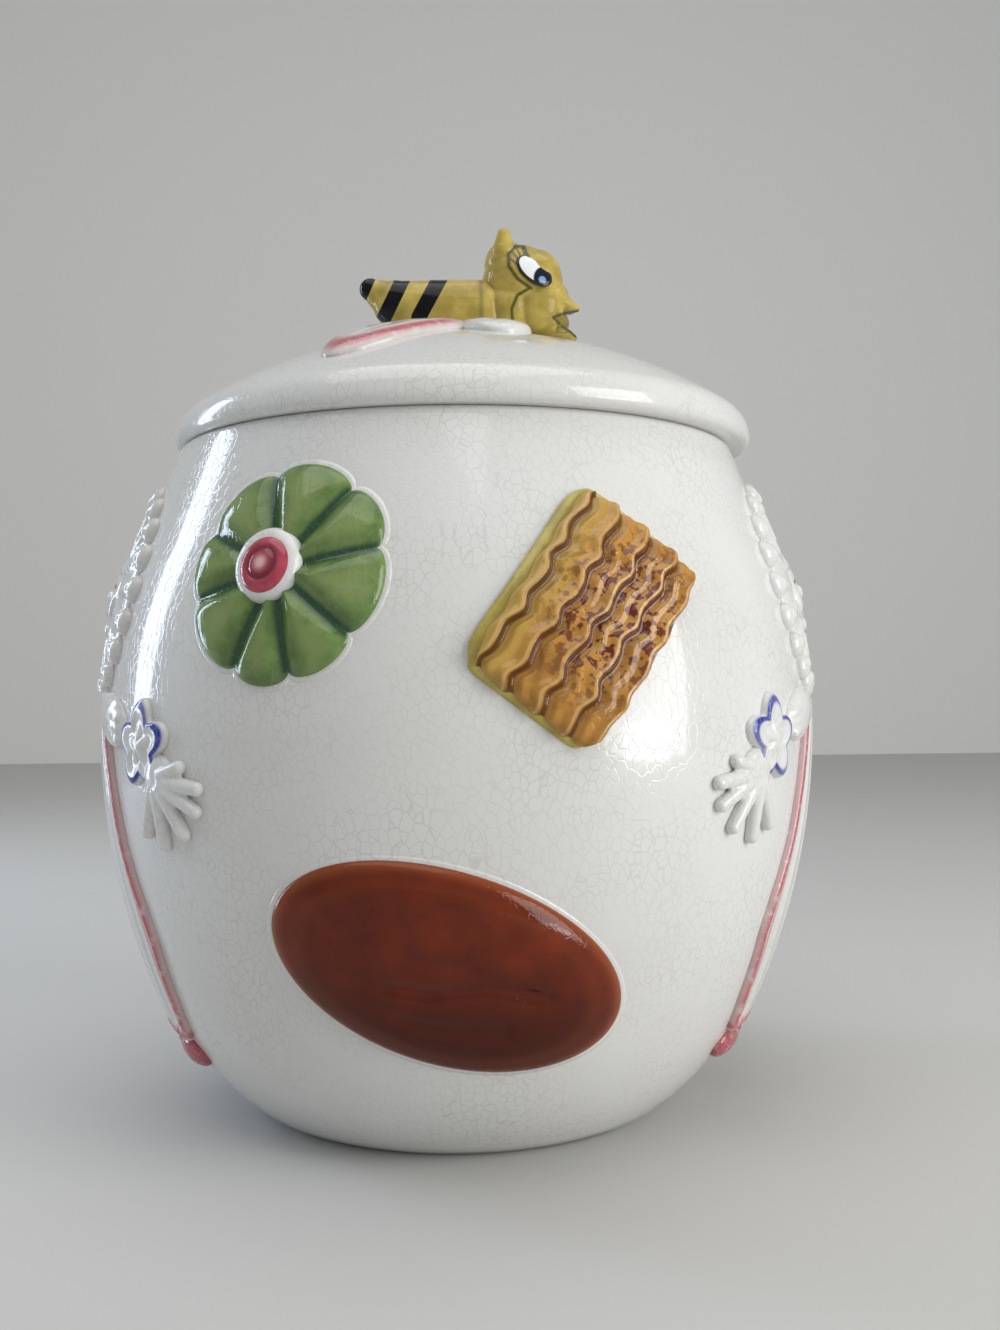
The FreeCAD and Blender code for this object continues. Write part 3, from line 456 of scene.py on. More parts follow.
# %% The lid's section
LID_X = 2.15
DOME_RISE = 30.0
EDGE_ROUND = 8.8
LIP = 2.3
LID_OVERHANG = 3.7
LID_RADIUS = wall(MOUTH)[0] + LID_OVERHANG
WIDEST = MOUTH + LIP
EDGE_CENTRE = LID_RADIUS - EDGE_ROUND
DOME_ARC = (EDGE_CENTRE**2 + DOME_RISE**2 - EDGE_ROUND**2) / (2 * (DOME_RISE - EDGE_ROUND))
DOME_CENTRE = WIDEST - math.sqrt((DOME_ARC - EDGE_ROUND) ** 2 - EDGE_CENTRE**2)
DOME_TURN = math.degrees(math.atan2(WIDEST - DOME_CENTRE, EDGE_CENTRE))
# Outer radius, inner radius and lower end
FLANGE = (67.19, 62.79, 171.0)
LID_WALL = 5.0


def dome(x, y):
    """Height of the dome's outside above a point of the plan, in mm."""
    return DOME_CENTRE + math.sqrt(DOME_ARC**2 - (x - LID_X) ** 2 - y**2)


def lid_section():
    points = arc_points((0, DOME_CENTRE), DOME_ARC, 90, DOME_TURN, 60)
    points += arc_points((EDGE_CENTRE, WIDEST), EDGE_ROUND, DOME_TURN, 0, 14)[1:]
    points += arc_points((LID_RADIUS - LIP, WIDEST), LIP, 0, -90, 6)[1:]
    outer, inner, low = FLANGE
    points += [(outer + 0.4, MOUTH), (outer, MOUTH - 0.4), (outer, low + 1.2)]
    points += [(outer - 0.4, low + 0.35), (outer - 1.2, low)]
    points += [(inner + 1.2, low), (inner + 0.4, low + 0.35), (inner, low + 1.2)]
    inside = DOME_ARC - LID_WALL
    start = math.degrees(math.acos(inner / inside))
    points += arc_points((0, DOME_CENTRE), inside, start, 90, 30)
    return points


finish_piece(turned(lid_section(), LID_X), "lid", "white_glaze", "lid", "lid_shell")

# %% [markdown]
# ## Pressed reliefs
# A sprig is a pat of clay pressed in a mould and stuck to the wall: flat below, modelled above, soft
# at its rim. A ball is the handiest start, because its top half can become the modelled face and its
# lower half the flat back, with no seam. Each vertex's place on the ball says how far out it lies
# and in which direction, and three small functions say how far the outline reaches there, how high
# the clay stands, and what the stain does.

# %% Laying a pat of clay on the wall


def pat(azimuth, height, reach, rise, marks=(), segments=256, rings=96, sink=1.0):
    """A closed relief. reach(turn) is the outline's radius, rise(x, y, share) the height, all in mm.
    marks maps the name of an attribute to a function of the same three values."""
    bm = bmesh.new()
    bmesh.ops.create_uvsphere(bm, u_segments=segments, v_segments=rings, radius=1.0)
    layers = {name: bm.verts.layers.float.new(name) for name in dict(marks)}
    for vert in bm.verts:
        share = min(1.0, math.hypot(vert.co.x, vert.co.y))
        turn = math.atan2(vert.co.y, vert.co.x)
        edge = reach(turn)
        x, y = edge * share * math.cos(turn), edge * share * math.sin(turn)
        out = rise(x, y, share) if vert.co.z > 1e-4 else -sink * max(0.35, 1 - share)
        for name, layer in layers.items():
            vert[layer] = marks[name](x, y, share)
        vert.co = on_wall(azimuth, x, height + y, out)
    return bm


COLLAR_STAND, COLLAR_WIDTH = 0.12, 1.2


def collar(azimuth, height, reach, segments):
    """The fillet of white glaze that gathers where a relief meets the wall."""
    stand, width = COLLAR_STAND, COLLAR_WIDTH
    bm = bmesh.new()
    section = [(-0.8, -0.6), (-0.8, stand), (0.15, stand * 0.55), (width * 0.45, stand * 0.2)]
    section += [(width, 0.03), (width * 1.1, -0.6)]
    verts = [bm.verts.new((10 + across, 0, up)) for across, up in section]
    edges = [bm.edges.new((verts[i], verts[(i + 1) % len(verts)])) for i in range(len(verts))]
    spin_round(bm, verts + edges, 0, segments)
    bmesh.ops.remove_doubles(bm, verts=bm.verts, dist=1e-4)
    for vert in bm.verts:
        turn = math.atan2(vert.co.y, vert.co.x)
        across = math.hypot(vert.co.x, vert.co.y) - 10
        radius = reach(turn) + across
        vert.co = on_wall(azimuth, radius * math.cos(turn), height + radius * math.sin(turn), vert.co.z)
    return bm


def bell(distance, width):
    """A soft bump: 1 at 0 and falling to nothing within about twice the width."""
    return math.exp(-((distance / width) ** 2))


def path_distance(x, y, path):
    """Distance from a point to a drawn line of straight strokes."""
    nearest = 1e9
    for (ax, ay), (bx, by) in zip(path, path[1:]):
        dx, dy = bx - ax, by - ay
        share = max(0.0, min(1.0, ((x - ax) * dx + (y - ay) * dy) / (dx * dx + dy * dy)))
        nearest = min(nearest, math.hypot(x - ax - share * dx, y - ay - share * dy))
    return nearest


# %% [markdown]
# ## The flower biscuit
# Eight petals, pinched apart by grooves that were cut by hand: their angles are uneven. The groove
# is a valley along each cut, and the petal swells between two of them. The same distance drives the
# colour: darker in the valleys as painted shade, lighter on the swells as painted highlight.

# %% Petals
FLOWER_AT = (-26.0, 141.0)
CUTS = [math.radians(a) for a in (11.9, 52.1, 103.7, 153.8, 194.0, 245.9, 282.8, 322.7)]
FLOWER_NOTCH, FLOWER_TIP = 23.0, 25.7
PETAL_RISE = 3.5
VALLEY_DEPTH, VALLEY_WIDTH = 0.58, 2.4


def petal_place(turn):
    """Where an angle lies between its two cuts: 0 on a cut and 1 in the middle, with the petal's width."""
    for index, start in enumerate(CUTS):
        end = CUTS[(index + 1) % len(CUTS)]
        width = (end - start) % (2 * math.pi)
        ahead = (turn - start) % (2 * math.pi)
        if ahead <= width:
            return 1 - abs(2 * ahead / width - 1), width
    return 0.0, 1.0


def flower_reach(turn):
    place = petal_place(turn)[0]
    return FLOWER_NOTCH + (FLOWER_TIP - FLOWER_NOTCH) * math.sqrt(1 - (1 - place) ** 2)


def cut_distance(x, y):
    """How far a point lies from the nearest cut, in mm."""
    place, width = petal_place(math.atan2(y, x))
    return math.hypot(x, y) * place * width / 2


def petal_rise(x, y, share):
    edge = (1 - share**5) ** 0.5
    swell = 1 - VALLEY_DEPTH * bell(cut_distance(x, y), VALLEY_WIDTH)
    return PETAL_RISE * edge * swell - 0.15


def petal_groove_shade(x, y, share):
    """Painted shade in the valleys, less of it near the heart and at the very edge."""
    return bell(cut_distance(x, y), 1.3) * min(1, share * 3) * (1 if share < 0.97 else 0.5)


green_marks = {
    # groove is painted shade in the valleys, ridge is painted highlight on the swells
    "groove": petal_groove_shade,
    "ridge": lambda x, y, share: (1 - bell(cut_distance(x, y), 4.5)) * (1 - share**8),
}
petals = pat(*FLOWER_AT, flower_reach, petal_rise, green_marks, 512)
finish_piece(petals, "petals", "green_glaze", "jar", "flower_petals")
finish_piece(collar(*FLOWER_AT, flower_reach, segments=512), "petals_glaze_edge", "white_glaze", "jar")

# %% [markdown]
# ### The cherry in its icing
# A flat swirl of white icing with a candied cherry pressed into it. The cherry is a low dome with a
# darker ring scratched round a pale spot, where light stain was dabbed on.

# %% Icing and cherry
HEART = (-27.4, 142.2)
ICING_RADIUS, ICING_RISE = 8.7, 4.1
CHERRY_AT = (-27.2, 141.6)
CHERRY_RADIUS, CHERRY_RISE = 7.5, 5.3


def ring_reach(radius):
    return lambda turn: radius


icing = pat(*HEART, ring_reach(ICING_RADIUS), lambda x, y, s: ICING_RISE * (1 - s**8) ** 0.5, (), 128, 48)
finish_piece(icing, "icing", "white_glaze", "jar", "flower_icing")


def cherry_rise(x, y, share):
    return CHERRY_RISE * (1 - share**4) ** 0.5 - 0.5 * bell(math.hypot(x, y) - 3.4, 0.6)


def cherry_ring(x, y, share):
    reach = math.hypot(x, y)
    return 0.9 * bell(reach - 3.1, 0.8) + 0.3 * bell(reach, 2.6)


cherry_marks = {
    "groove": cherry_ring,
    "spot": lambda x, y, share: 1.1 * bell(math.hypot(x, y), 1.5),
}
cherry = pat(*CHERRY_AT, ring_reach(CHERRY_RADIUS), cherry_rise, cherry_marks, 128, 64)
finish_piece(cherry, "cherry", "cherry_glaze", "jar", "flower_cherry")

# %% [markdown]
# ## The oval biscuit
# A chocolate-brown pat, thick and a little dished, with shallow creases that run to a pinch near its
# right end. The stain thins at the rim, where the light clay shows through, and the pat is darker towards the
# bottom.

# %% The oval
OVAL_AT = (-2.2, 52.6)
OVAL_HALF = (40.8, 22.6)
OVAL_TILT = math.radians(-18.5)
OVAL_RISE = 4.75
OVAL_DIP = 0.9
PINCH_AT = (18.6, -4.8)
CREASE_WIDTH = 1.9


def oval_reach(turn):
    """An ellipse whose long axis is tilted."""
    local = turn - OVAL_TILT
    a, b = OVAL_HALF
    return a * b / math.hypot(b * math.cos(local), a * math.sin(local))


# Each crease is a path in the pat's own plane, in mm, and its depth
CREASES = (
    (((-13.0, -2.0), (-4.0, -3.6), (8.0, -2.6), (22.0, -5.6)), 1.1),
    (((-10.0, -9.5), (-2.0, -11.6), (12.0, -12.6)), 0.8),
    (((-8.0, 5.4), (3.0, 2.4), (15.0, -2.0)), 0.7),
)


def oval_local(x, y):
    c, s = math.cos(OVAL_TILT), math.sin(OVAL_TILT)
    return c * x + s * y, -s * x + c * y


def oval_rise(x, y, share):
    along, across = oval_local(x, y)
    dip = OVAL_DIP * bell(math.hypot((along - 2) / 24, (across + 1) / 10), 1.0)
    creases = sum(depth * bell(path_distance(x, y, path), CREASE_WIDTH) for path, depth in CREASES)
    pinch = 0.5 * bell(math.hypot(x - PINCH_AT[0], y - PINCH_AT[1]), 3.2)
    return OVAL_RISE * (1 - share**3.2) ** 0.55 - dip - creases - pinch


oval_marks = {
    "rim": lambda x, y, share: 0.8 * bell(1 - share, 0.07) + 0.25 * bell(share - 0.82, 0.08),
    # Darker towards the bottom of the pat
    "low": lambda x, y, share: max(0.0, min(1.0, 0.35 - y / 30)) * (1 - share**10),
}
oval = pat(*OVAL_AT, oval_reach, oval_rise, oval_marks, 320, 128)
finish_piece(oval, "oval", "chestnut_glaze", "jar", "oval_biscuit")
finish_piece(collar(*OVAL_AT, oval_reach, segments=320), "oval_glaze_edge", "white_glaze", "jar")

# %% [markdown]
# ## The wafer
# A ridged wafer on a thinner slab that peeps out on its left. The ridges run the long way, wander a
# little and lean, each with a raised lip, and they scallop the two short ends. A grid suits it
# better than a ball, because the ridges are rows: the top is shaped first and then given a back.

# %% Wafer shapes
WAFER_AT = (18.3, 129.8)
WAFER_TILT = math.radians(52)
WAFER_HALF = (25.7, 17.0)
UNDER_RIM = (0.8, 1.2)
UNDER_RISE = 1.85
# From one groove to the next, as a share of half the width
RIDGE_SPACING = 0.45
# Where the lip and the dark groove lie between one groove and the next
LIP_PLACE, GROOVE_PLACE = 0.71, 0.89


def slab(azimuth, height, tilt, outline, rise, marks=(), counts=(120, 100), sink=1.0, shift=(0, 0)):
    """A closed slab on the wall from a grid. outline(u, v) gives x and y in mm for u and v from -1 to 1."""
    bm = bmesh.new()
    bmesh.ops.create_grid(bm, x_segments=counts[0], y_segments=counts[1], size=1.0)
    layers = {name: bm.verts.layers.float.new(name) for name in dict(marks)}
    rim = [edge for edge in bm.edges if edge.is_boundary]
    back = bmesh.ops.extrude_edge_only(bm, edges=rim)
    skirt = {item for item in back["geom"] if isinstance(item, bmesh.types.BMVert)}
    loop = [item for item in back["geom"] if isinstance(item, bmesh.types.BMEdge)]
    bmesh.ops.contextual_create(bm, geom=loop)
    c, s = math.cos(tilt), math.sin(tilt)
    for vert in bm.verts:
        u, v = vert.co.x, vert.co.y
        x, y = outline(u, v)
        out = -sink if vert in skirt else rise(u, v, x, y)
        for name, layer in layers.items():
            vert[layer] = marks[name](u, v, x, y)
        vert.co = on_wall(azimuth, c * x - s * y + shift[0], height + s * x + c * y + shift[1], out)
    return bm


def soft_square(u, v, half, corner):
    """Rounds a square's corners by drawing them in."""
    pull = corner * (abs(u) ** 8) * (abs(v) ** 8)
    return half[0] * u - math.copysign(pull, u), half[1] * v - math.copysign(pull, v)


def ridge_place(u, v):
    """0 in a groove, then across a ridge to 1 in the next groove, wandering as the real ridges do."""
    wander = 0.08 * math.sin(17 * u + 1.5 * v) + 0.02 * math.sin(27 * u + 5 * v + 1)
    wander += 0.06 * math.sin(4 * u + 3 * v)
    return -((v + 1.03) / RIDGE_SPACING + wander) % 1


def smooth_step(value):
    value = max(0.0, min(1.0, value))
    return value * value * (3 - 2 * value)


def ridge_wave(u, v):
    """A ridge leans: a nearly flat strip ends in a raised lip that drops sharply into the next groove."""
    place = ridge_place(u, v)
    strip = 0.5 * smooth_step(place / 0.25) + 0.5 * smooth_step((place - 0.40) / 0.30)
    return min(strip, 1 - smooth_step((place - 0.76) / 0.20))


# Darkness at the foot of each lip, in the groove: painted shade
def groove_shade(u, v):
    place = ridge_place(u, v)
    return max(bell(place - GROOVE_PLACE, 0.13), bell(place + 1 - GROOVE_PLACE, 0.13))


def lip_gleam(u, v):
    """A pale line along each lip: painted highlight."""
    return bell(ridge_place(u, v) - LIP_PLACE, 0.055)


def wafer_outline(u, v):
    x, y = soft_square(u, v, WAFER_HALF, 2.4)
    scallop = (1 - ridge_wave(u, v)) * 0.8 * abs(u) ** 6
    return x - math.copysign(scallop, u), y + 0.3 * math.sin(17 * u) * abs(v) ** 4


def edge_fall(u, v, sharp):
    return ((1 - abs(u) ** sharp) * (1 - abs(v) ** sharp)) ** 0.5


def wafer_rise(u, v, x, y):
    return 1.2 + 3.3 * edge_fall(u, v, 22) * (0.42 + 0.58 * ridge_wave(u, v))


def toast(u, v, x, y):
    """Where the wafer is speckled brown: its middle and its right side."""
    return max(0.0, min(1.0, 1.4 - 1.2 * math.hypot(u - 0.12, (v + 0.25) * 0.9)))


wafer_marks = {
    # groove is painted shade in the grooves, lip is a painted highlight along the lips
    "groove": lambda u, v, x, y: groove_shade(u, v),
    "honey": lambda u, v, x, y: smooth_step((v - 0.2) / 0.7),
    "lip": lambda u, v, x, y: 0.55 * lip_gleam(u, v),
    "toast": toast,
}
wafer_top = slab(*WAFER_AT, WAFER_TILT, wafer_outline, wafer_rise, wafer_marks, (260, 220))
finish_piece(wafer_top, "wafer", "wafer_glaze", "jar", "wafer_top")

under_half = (WAFER_HALF[0] + UNDER_RIM[0], WAFER_HALF[1] + UNDER_RIM[1])
under_slab = slab(
    *WAFER_AT,
    WAFER_TILT,
    lambda u, v: soft_square(u, v, under_half, 3.2),
    lambda u, v, x, y: UNDER_RISE * edge_fall(u, v, 16),
    shift=(-0.9, 0.7),
)
finish_piece(under_slab, "wafer_under_layer", "olive_glaze", "jar", "wafer_base")

# %% [markdown]
# ## Modelled lumps
# The dolls at the sides and the bee are modelled freely: balls and rolls of clay pressed together
# and stroked smooth with a wet finger. Balls and tapered rolls that overlap, given one skin by a
# voxel remesh and a few passes of smoothing, look the same way.

# %% Balls, rolls and one skin over them


def template(name, make, **settings):
    """A small mesh made once, so that each lump is a quick copy of it."""
    bm = bmesh.new()
    make(bm, **settings)
    mesh = bpy.data.meshes.new(name)
    bm.to_mesh(mesh)
    bm.free()
    return mesh


BALL = template("unit_ball", bmesh.ops.create_uvsphere, u_segments=32, v_segments=16, radius=1.0)


def press(bm, mesh, place):
    """Adds a copy of a small mesh to the lumps, moved to its place."""
    copy = mesh.copy()
    copy.transform(place)
    bm.from_mesh(copy)
    bpy.data.meshes.remove(copy)


def ball(bm, centre, radii, turn=(0, 0, 0)):
    angles = [math.radians(a) for a in turn]
    place = Matrix.Translation(centre) @ Euler(angles).to_matrix().to_4x4() @ Matrix.Diagonal((*radii, 1))
    press(bm, BALL, place)


def roll(bm, start, end, thick, thin):
    """A roll of clay from start to end, its radius running from thick to thin, round at both ends."""
    start, end = Vector(start), Vector(end)
    axis = end - start
    place = Matrix.Translation((start + end) / 2) @ axis.to_track_quat("Z", "Y").to_matrix().to_4x4()
    settings = {"cap_ends": True, "segments": 24, "radius1": thick, "radius2": thin, "depth": axis.length}
    cone = template("roll", bmesh.ops.create_cone, **settings)
    press(bm, cone, place)
    bpy.data.meshes.remove(cone)
    ball(bm, start, (thick,) * 3)
    ball(bm, end, (thin,) * 3)


def skin(bm, voxel=0.5, strokes=3):
    """One closed skin over all the lumps, stroked smooth. Sizes are in mm."""
    mesh = bpy.data.meshes.new("lumps")
    bm.to_mesh(mesh)
    bm.free()
    lump = bpy.data.objects.new("lumps", mesh)
    bpy.context.scene.collection.objects.link(lump)
    join = lump.modifiers.new("join", "REMESH")
    join.mode = "VOXEL"
    join.voxel_size = voxel
    stroke = lump.modifiers.new("stroke", "SMOOTH")
    stroke.iterations = strokes
    result = bmesh.new()
    result.from_object(lump, bpy.context.evaluated_depsgraph_get())
    bpy.data.objects.remove(lump)
    bpy.data.meshes.remove(mesh)
    return result


def painted(bm, marks):
    """Brushes stains on: marks maps an attribute to a function of a point in mm."""
    for name, strength in marks.items():
        layer = bm.verts.layers.float.new(name)
        for vert in bm.verts:
            vert[layer] = strength(*vert.co)
    return bm


def laid(bm, azimuth, height=0.0):
    """Bends a flat plaque of lumps onto the wall at an azimuth."""
    for vert in bm.verts:
        vert.co = on_wall(azimuth, vert.co.x, height + vert.co.y, vert.co.z)
    return bm


# %% [markdown]
# ## The dolls at the sides
# Each side carries a doll in relief, seen edge-on from the front: a bonnet ringed with curls, a long
# gown, frilled cuffs edged with cobalt and spread white hands. Both come from one mould, so the
# lumps are made once, flat, and bent onto the wall at each side. The face is a plain doll's face.

# %% Doll: head and bonnet
# The dolls' azimuth in degrees and the height of their heads in mm
DOLL = 78.0
HEAD = 140.0


def doll_face():
    bm = bmesh.new()
    ball(bm, (0, HEAD, 0), (11.0, 13.0, 3.7))
    for side in (-1, 1):
        ball(bm, (side * 4.8, HEAD - 3.5, 2.3), (3.8, 3.6, 1.5))
    ball(bm, (0, HEAD - 1.2, 3.4), (1.3, 1.9, 1.2))
    ball(bm, (0, HEAD - 9.4, 2.0), (2.8, 2.2, 1.5))
    ball(bm, (0, HEAD - 5.6, 2.9), (2.2, 1.0, 0.9))
    return skin(bm, 0.35, 2)


def face_ink(x, y, z):
    """Closed eyes and brows, one drawn and mirrored."""
    across, up = abs(x), y - HEAD
    eye = bell(path_distance(across, up, [(3.0, 0.9), (4.6, 1.7), (6.2, 0.9)]), 0.45)
    brow = bell(path_distance(across, up, [(2.8, 4.4), (4.8, 5.2), (6.8, 4.4)]), 0.4)
    return max(eye, 0.5 * brow)


def face_rose(x, y, z):
    up = y - HEAD
    lips = bell(path_distance(x, up, [(-1.7, -5.5), (0, -5.8), (1.7, -5.5)]), 0.7)
    return max(lips, 0.35 * bell(math.hypot(abs(x) - 5.4, up + 3.4), 2.2))


def doll_bonnet():
    bm = bmesh.new()
    ball(bm, (0, HEAD, 0), (22.5, 24.5, 2.5))
    for step in range(18):
        turn = 2 * math.pi * step / 18
        inner = (13 * math.cos(turn), HEAD + 15 * math.sin(turn), 1.3)
        outer = (20.5 * math.cos(turn), HEAD + 22.3 * math.sin(turn), 0.7)
        roll(bm, inner, outer, 1.4, 1.7)
    return skin(bm)


def doll_ringlets():
    bm = bmesh.new()
    for step in range(20):
        turn = 2 * math.pi * step / 20
        x, y = 24 * math.cos(turn), HEAD + 26 * math.sin(turn)
        ball(bm, (x, y, 0), (3.6, 3.6, 2.7))
        ball(bm, (x - 0.9 * math.cos(turn), y - 0.9 * math.sin(turn), 2.1), (1.7, 1.7, 1.0))
    return skin(bm, 0.4, 1)


# %% [markdown]
# ### Gown, sleeves and shoes
# The gown hangs in soft folds from the shoulders to the hem, and two rose lines run down each edge.
# The lines were brushed along raised cords, so the stain follows the same path as the cord.

# %% Doll: clothes
GOWN = ((113.0, 16.0), (84.0, 25.0), (55.0, 33.0), (40.0, 30.5), (26.0, 26.0))


def gown_half_width(y):
    """Half the gown's width at height y, smoothly between the rows of the pattern."""
    for (y1, w1), (y2, w2) in zip(GOWN, GOWN[1:]):
        if y >= y2:
            share = min(1.0, max(0.0, (y1 - y) / (y1 - y2)))
            return w1 + (w2 - w1) * (share * share * (3 - 2 * share) * 0.5 + share * 0.5)
    return GOWN[-1][1]


def fold_line(share, steps=10):
    """A line down the gown at a share of its half width, from shoulder to hem."""
    rows = [110 - (110 - 28) * i / steps for i in range(steps + 1)]
    return [(share * gown_half_width(y), y) for y in rows]


def doll_gown():
    bm = bmesh.new()
    for step in range(43):
        y = 112 - 2 * step
        ball(bm, (0, y, 0), (gown_half_width(y) - 0.6, 4.0, 1.7))
    for share, lift, thick in ((0.93, 0.7, 1.6), (0.62, 0.9, 1.3), (0.3, 1.0, 1.3), (0.0, 1.0, 1.2)):
        for side in (-1, 1):
            line = fold_line(share * side)
            for (ax, ay), (bx, by) in zip(line, line[1:]):
                roll(bm, (ax, ay, lift - 0.4), (bx, by, lift - 0.4), thick, thick)
    for step in range(12):
        ball(bm, (-22.5 + 45 * step / 11, 27.5, 0.3), (2.4, 2.2, 2.0))
    return skin(bm)


EDGE_CORD = fold_line(0.93)
INNER_LINE = fold_line(0.78)


def gown_rose(x, y, z):
    edge = bell(path_distance(abs(x), y, EDGE_CORD), 1.7)
    inner = 0.7 * bell(path_distance(abs(x), y, INNER_LINE), 1.0)
    hem = 0.8 * bell(y - 27.5, 1.6)
    return max(edge, inner, hem)


def doll_sleeves():
    bm = bmesh.new()
    for side in (-1, 1):
        ball(bm, (side * 23.3, 107.3, 0), (11.6, 6.6, 2.9), (0, 0, -side * 18))
        for step in (-1, 0, 1):
            roll(bm, (side * 15, 110 + 3 * step, 1.1), (side * 31, 105 + 2.6 * step, 1.1), 1.4, 1.4)
    return skin(bm)


def doll_shoes():
    bm = bmesh.new()
    for side in (-1, 1):
        ball(bm, (side * 17, 21.5, 0), (8.2, 4.0, 3.0))
        roll(bm, (side * 12, 22.5, 0.9), (side * 14, 24.6, 0.8), 1.5, 1.3)
    return skin(bm, 0.4)


# %% [markdown]
# ### Cuffs and hands
# The cuff is a frill seen flat, and a cobalt line wanders round just inside its edge. The hand below
# it is a small palm with rolls for fingers, spread as in the photograph.

# %% Doll: cuffs and hands


def cuff_reach(turn):
    return 7.3 + 4.2 * abs(math.cos(2.5 * (turn - math.pi / 2))) ** 1.4


def cuff_rise(x, y, share):
    return 2.7 * (1 - share**6) ** 0.5 - 1.1 * bell(share - 0.48, 0.22)


def cuff_cobalt(x, y, share):
    fade = 0.85 + 0.15 * math.sin(3 * math.atan2(y, x) + 1)
    return min(1.0, 1.5 * bell(share - 0.84, 0.085)) * fade


CUFF_FROM_DOLL, CUFF_HEIGHT = 27, 101.5
HAND_FROM_DOLL, HAND_HEIGHT = 31, 94.0
# Each finger's direction in degrees and its reach in mm
FINGERS = ((162, 9.5), (187, 15), (207, 15.5), (234, 15.5), (266, 15.5), (296, 14.5))


def doll_hand(side):
    bm = bmesh.new()
    ball(bm, (0, 0, 0), (6.0, 6.0, 2.7))
    for degrees, reach in FINGERS:
        turn = math.radians(degrees if side < 0 else 180 - degrees)
        tip = (reach * math.cos(turn), reach * math.sin(turn), 0.9)
        root = (3 * math.cos(turn), 3 * math.sin(turn), 1.0)
        roll(bm, root, tip, 2.0, 1.7)
    return skin(bm, 0.4, 1)


shoe_marks = {"rose": lambda x, y, z: 0.9, "ink": lambda x, y, z: 0.25}
plaques = {
    "face": (painted(doll_face(), {"ink": face_ink, "rose": face_rose}), "white_glaze"),
    "bonnet": (doll_bonnet(), "white_glaze"),
    "ringlets": (doll_ringlets(), "white_glaze"),
    "gown": (painted(doll_gown(), {"rose": gown_rose}), "gown_glaze"),
    "sleeves": (doll_sleeves(), "white_glaze"),
    "shoes": (painted(doll_shoes(), shoe_marks), "shoe_glaze"),
}
for word, centre in (("left", -DOLL), ("right", DOLL)):
    for part, (plaque, slot) in plaques.items():
        finish_piece(laid(plaque.copy(), centre), f"{word}_doll_{part}", slot, "jar", f"{word}_{part}")
    for side in (-1, 1):
        edge = "front" if side * centre < 0 else "back"
        cuff_at = (centre + CUFF_FROM_DOLL * side, CUFF_HEIGHT)
        cuff = pat(*cuff_at, cuff_reach, cuff_rise, {"cobalt": cuff_cobalt}, 160, 48)
        finish_piece(cuff, f"{word}_{edge}_cuff", "cuff_glaze", "jar", f"{word}_cuffs")
        hand = laid(doll_hand(side), centre + HAND_FROM_DOLL * side, HAND_HEIGHT)
        finish_piece(hand, f"{word}_{edge}_hand", "white_glaze", "jar", f"{word}_hands")
for plaque, _ in plaques.values():
    plaque.free()

# %% [markdown]
# ## The bee that is the lid's handle
# The bee lies on the middle of the dome with its head to the right. Its body is a tapered roll with
# a raised tail, its head a ball with a beak-like lip over an open mouth, and its big painted eyes
# bulge from the sides. Stripes, lids and lashes are brush strokes, so they are drawn as paths.

# %% Bee: body
# Where the eye of the photograph was, in front of the jar's axis and above the table, in mm
EYE_AWAY, EYE_HEIGHT = 386.23, 116.57
# Along the body: x, z and the roll's radius
STATIONS = ((7, 220.8, 10.1), (-6, 221.8, 9.1), (-17, 224.2, 6.7), (-24.2, 228.4, 3.2))
# Each stripe's top, bottom and half width
STRIPES = (
    ((-24.6, 235.5), (-28.4, 227.0), 3.4),
    ((-14.2, 233.0), (-21.2, 218.6), 2.1),
    ((-3.6, 233.0), (-10.4, 220.6), 2.2),
)


def bee_body():
    bm = bmesh.new()
    for (ax, az, ar), (bx, bz, br) in zip(STATIONS, STATIONS[1:]):
        roll(bm, (ax, 0, az), (bx, 0, bz), ar, br)
    return skin(bm, 0.45, 4)


def as_seen(x, y, z):
    """Strokes were read off the bee's middle plane, and what lies nearer the eye looks larger there."""
    near = EYE_AWAY / (EYE_AWAY - abs(y))
    return x * near, EYE_HEIGHT + (z - EYE_HEIGHT) * near


def stripes(x, y, z):
    best = 0.0
    x, z = as_seen(x, y, z)
    for top, bottom, half in STRIPES:
        away = path_distance(x, z, [top, bottom])
        best = max(best, min(1.0, max(0.0, (half - away) / 0.5 + 0.5)))
    return best


def in_place(bm):
    """From mm to metres."""
    bmesh.ops.scale(bm, vec=(MM, MM, MM), verts=bm.verts)
    return bm


body_marks = {"black": stripes, "olive": lambda x, y, z: 0.5 * bell(x - 7.3, 0.9)}
body = in_place(painted(bee_body(), body_marks))
finish_piece(body, "bee_body", "bee_glaze", "lid", "bee_abdomen")

# %% Bee: head, lips and feelers
CHEEK_LINE = ((21.5, 228.9), (17.9, 226.8), (16.2, 222.9), (16.5, 217.0))
LID_LINE = (
    (21.8, 228.8),
    (17.9, 231.6),
    (15.5, 235.2),
    (15.4, 238.6),
    (17.3, 240.8),
    (19.6, 241.2),
    (21.0, 238.0),
)
LIP_LINE = ((28.2, 220.4), (31.5, 221.6), (36.5, 222.4))
JAW_LINE = ((28.2, 220.2), (31.0, 217.6), (35.0, 214.6))
LASHES = (
    ((16.6, 239.2), (18.4, 236.8)),
    ((17.8, 240.2), (19.2, 237.6)),
    ((19.2, 240.6), (20.2, 238.0)),
    ((16.0, 237.4), (17.8, 235.6)),
)


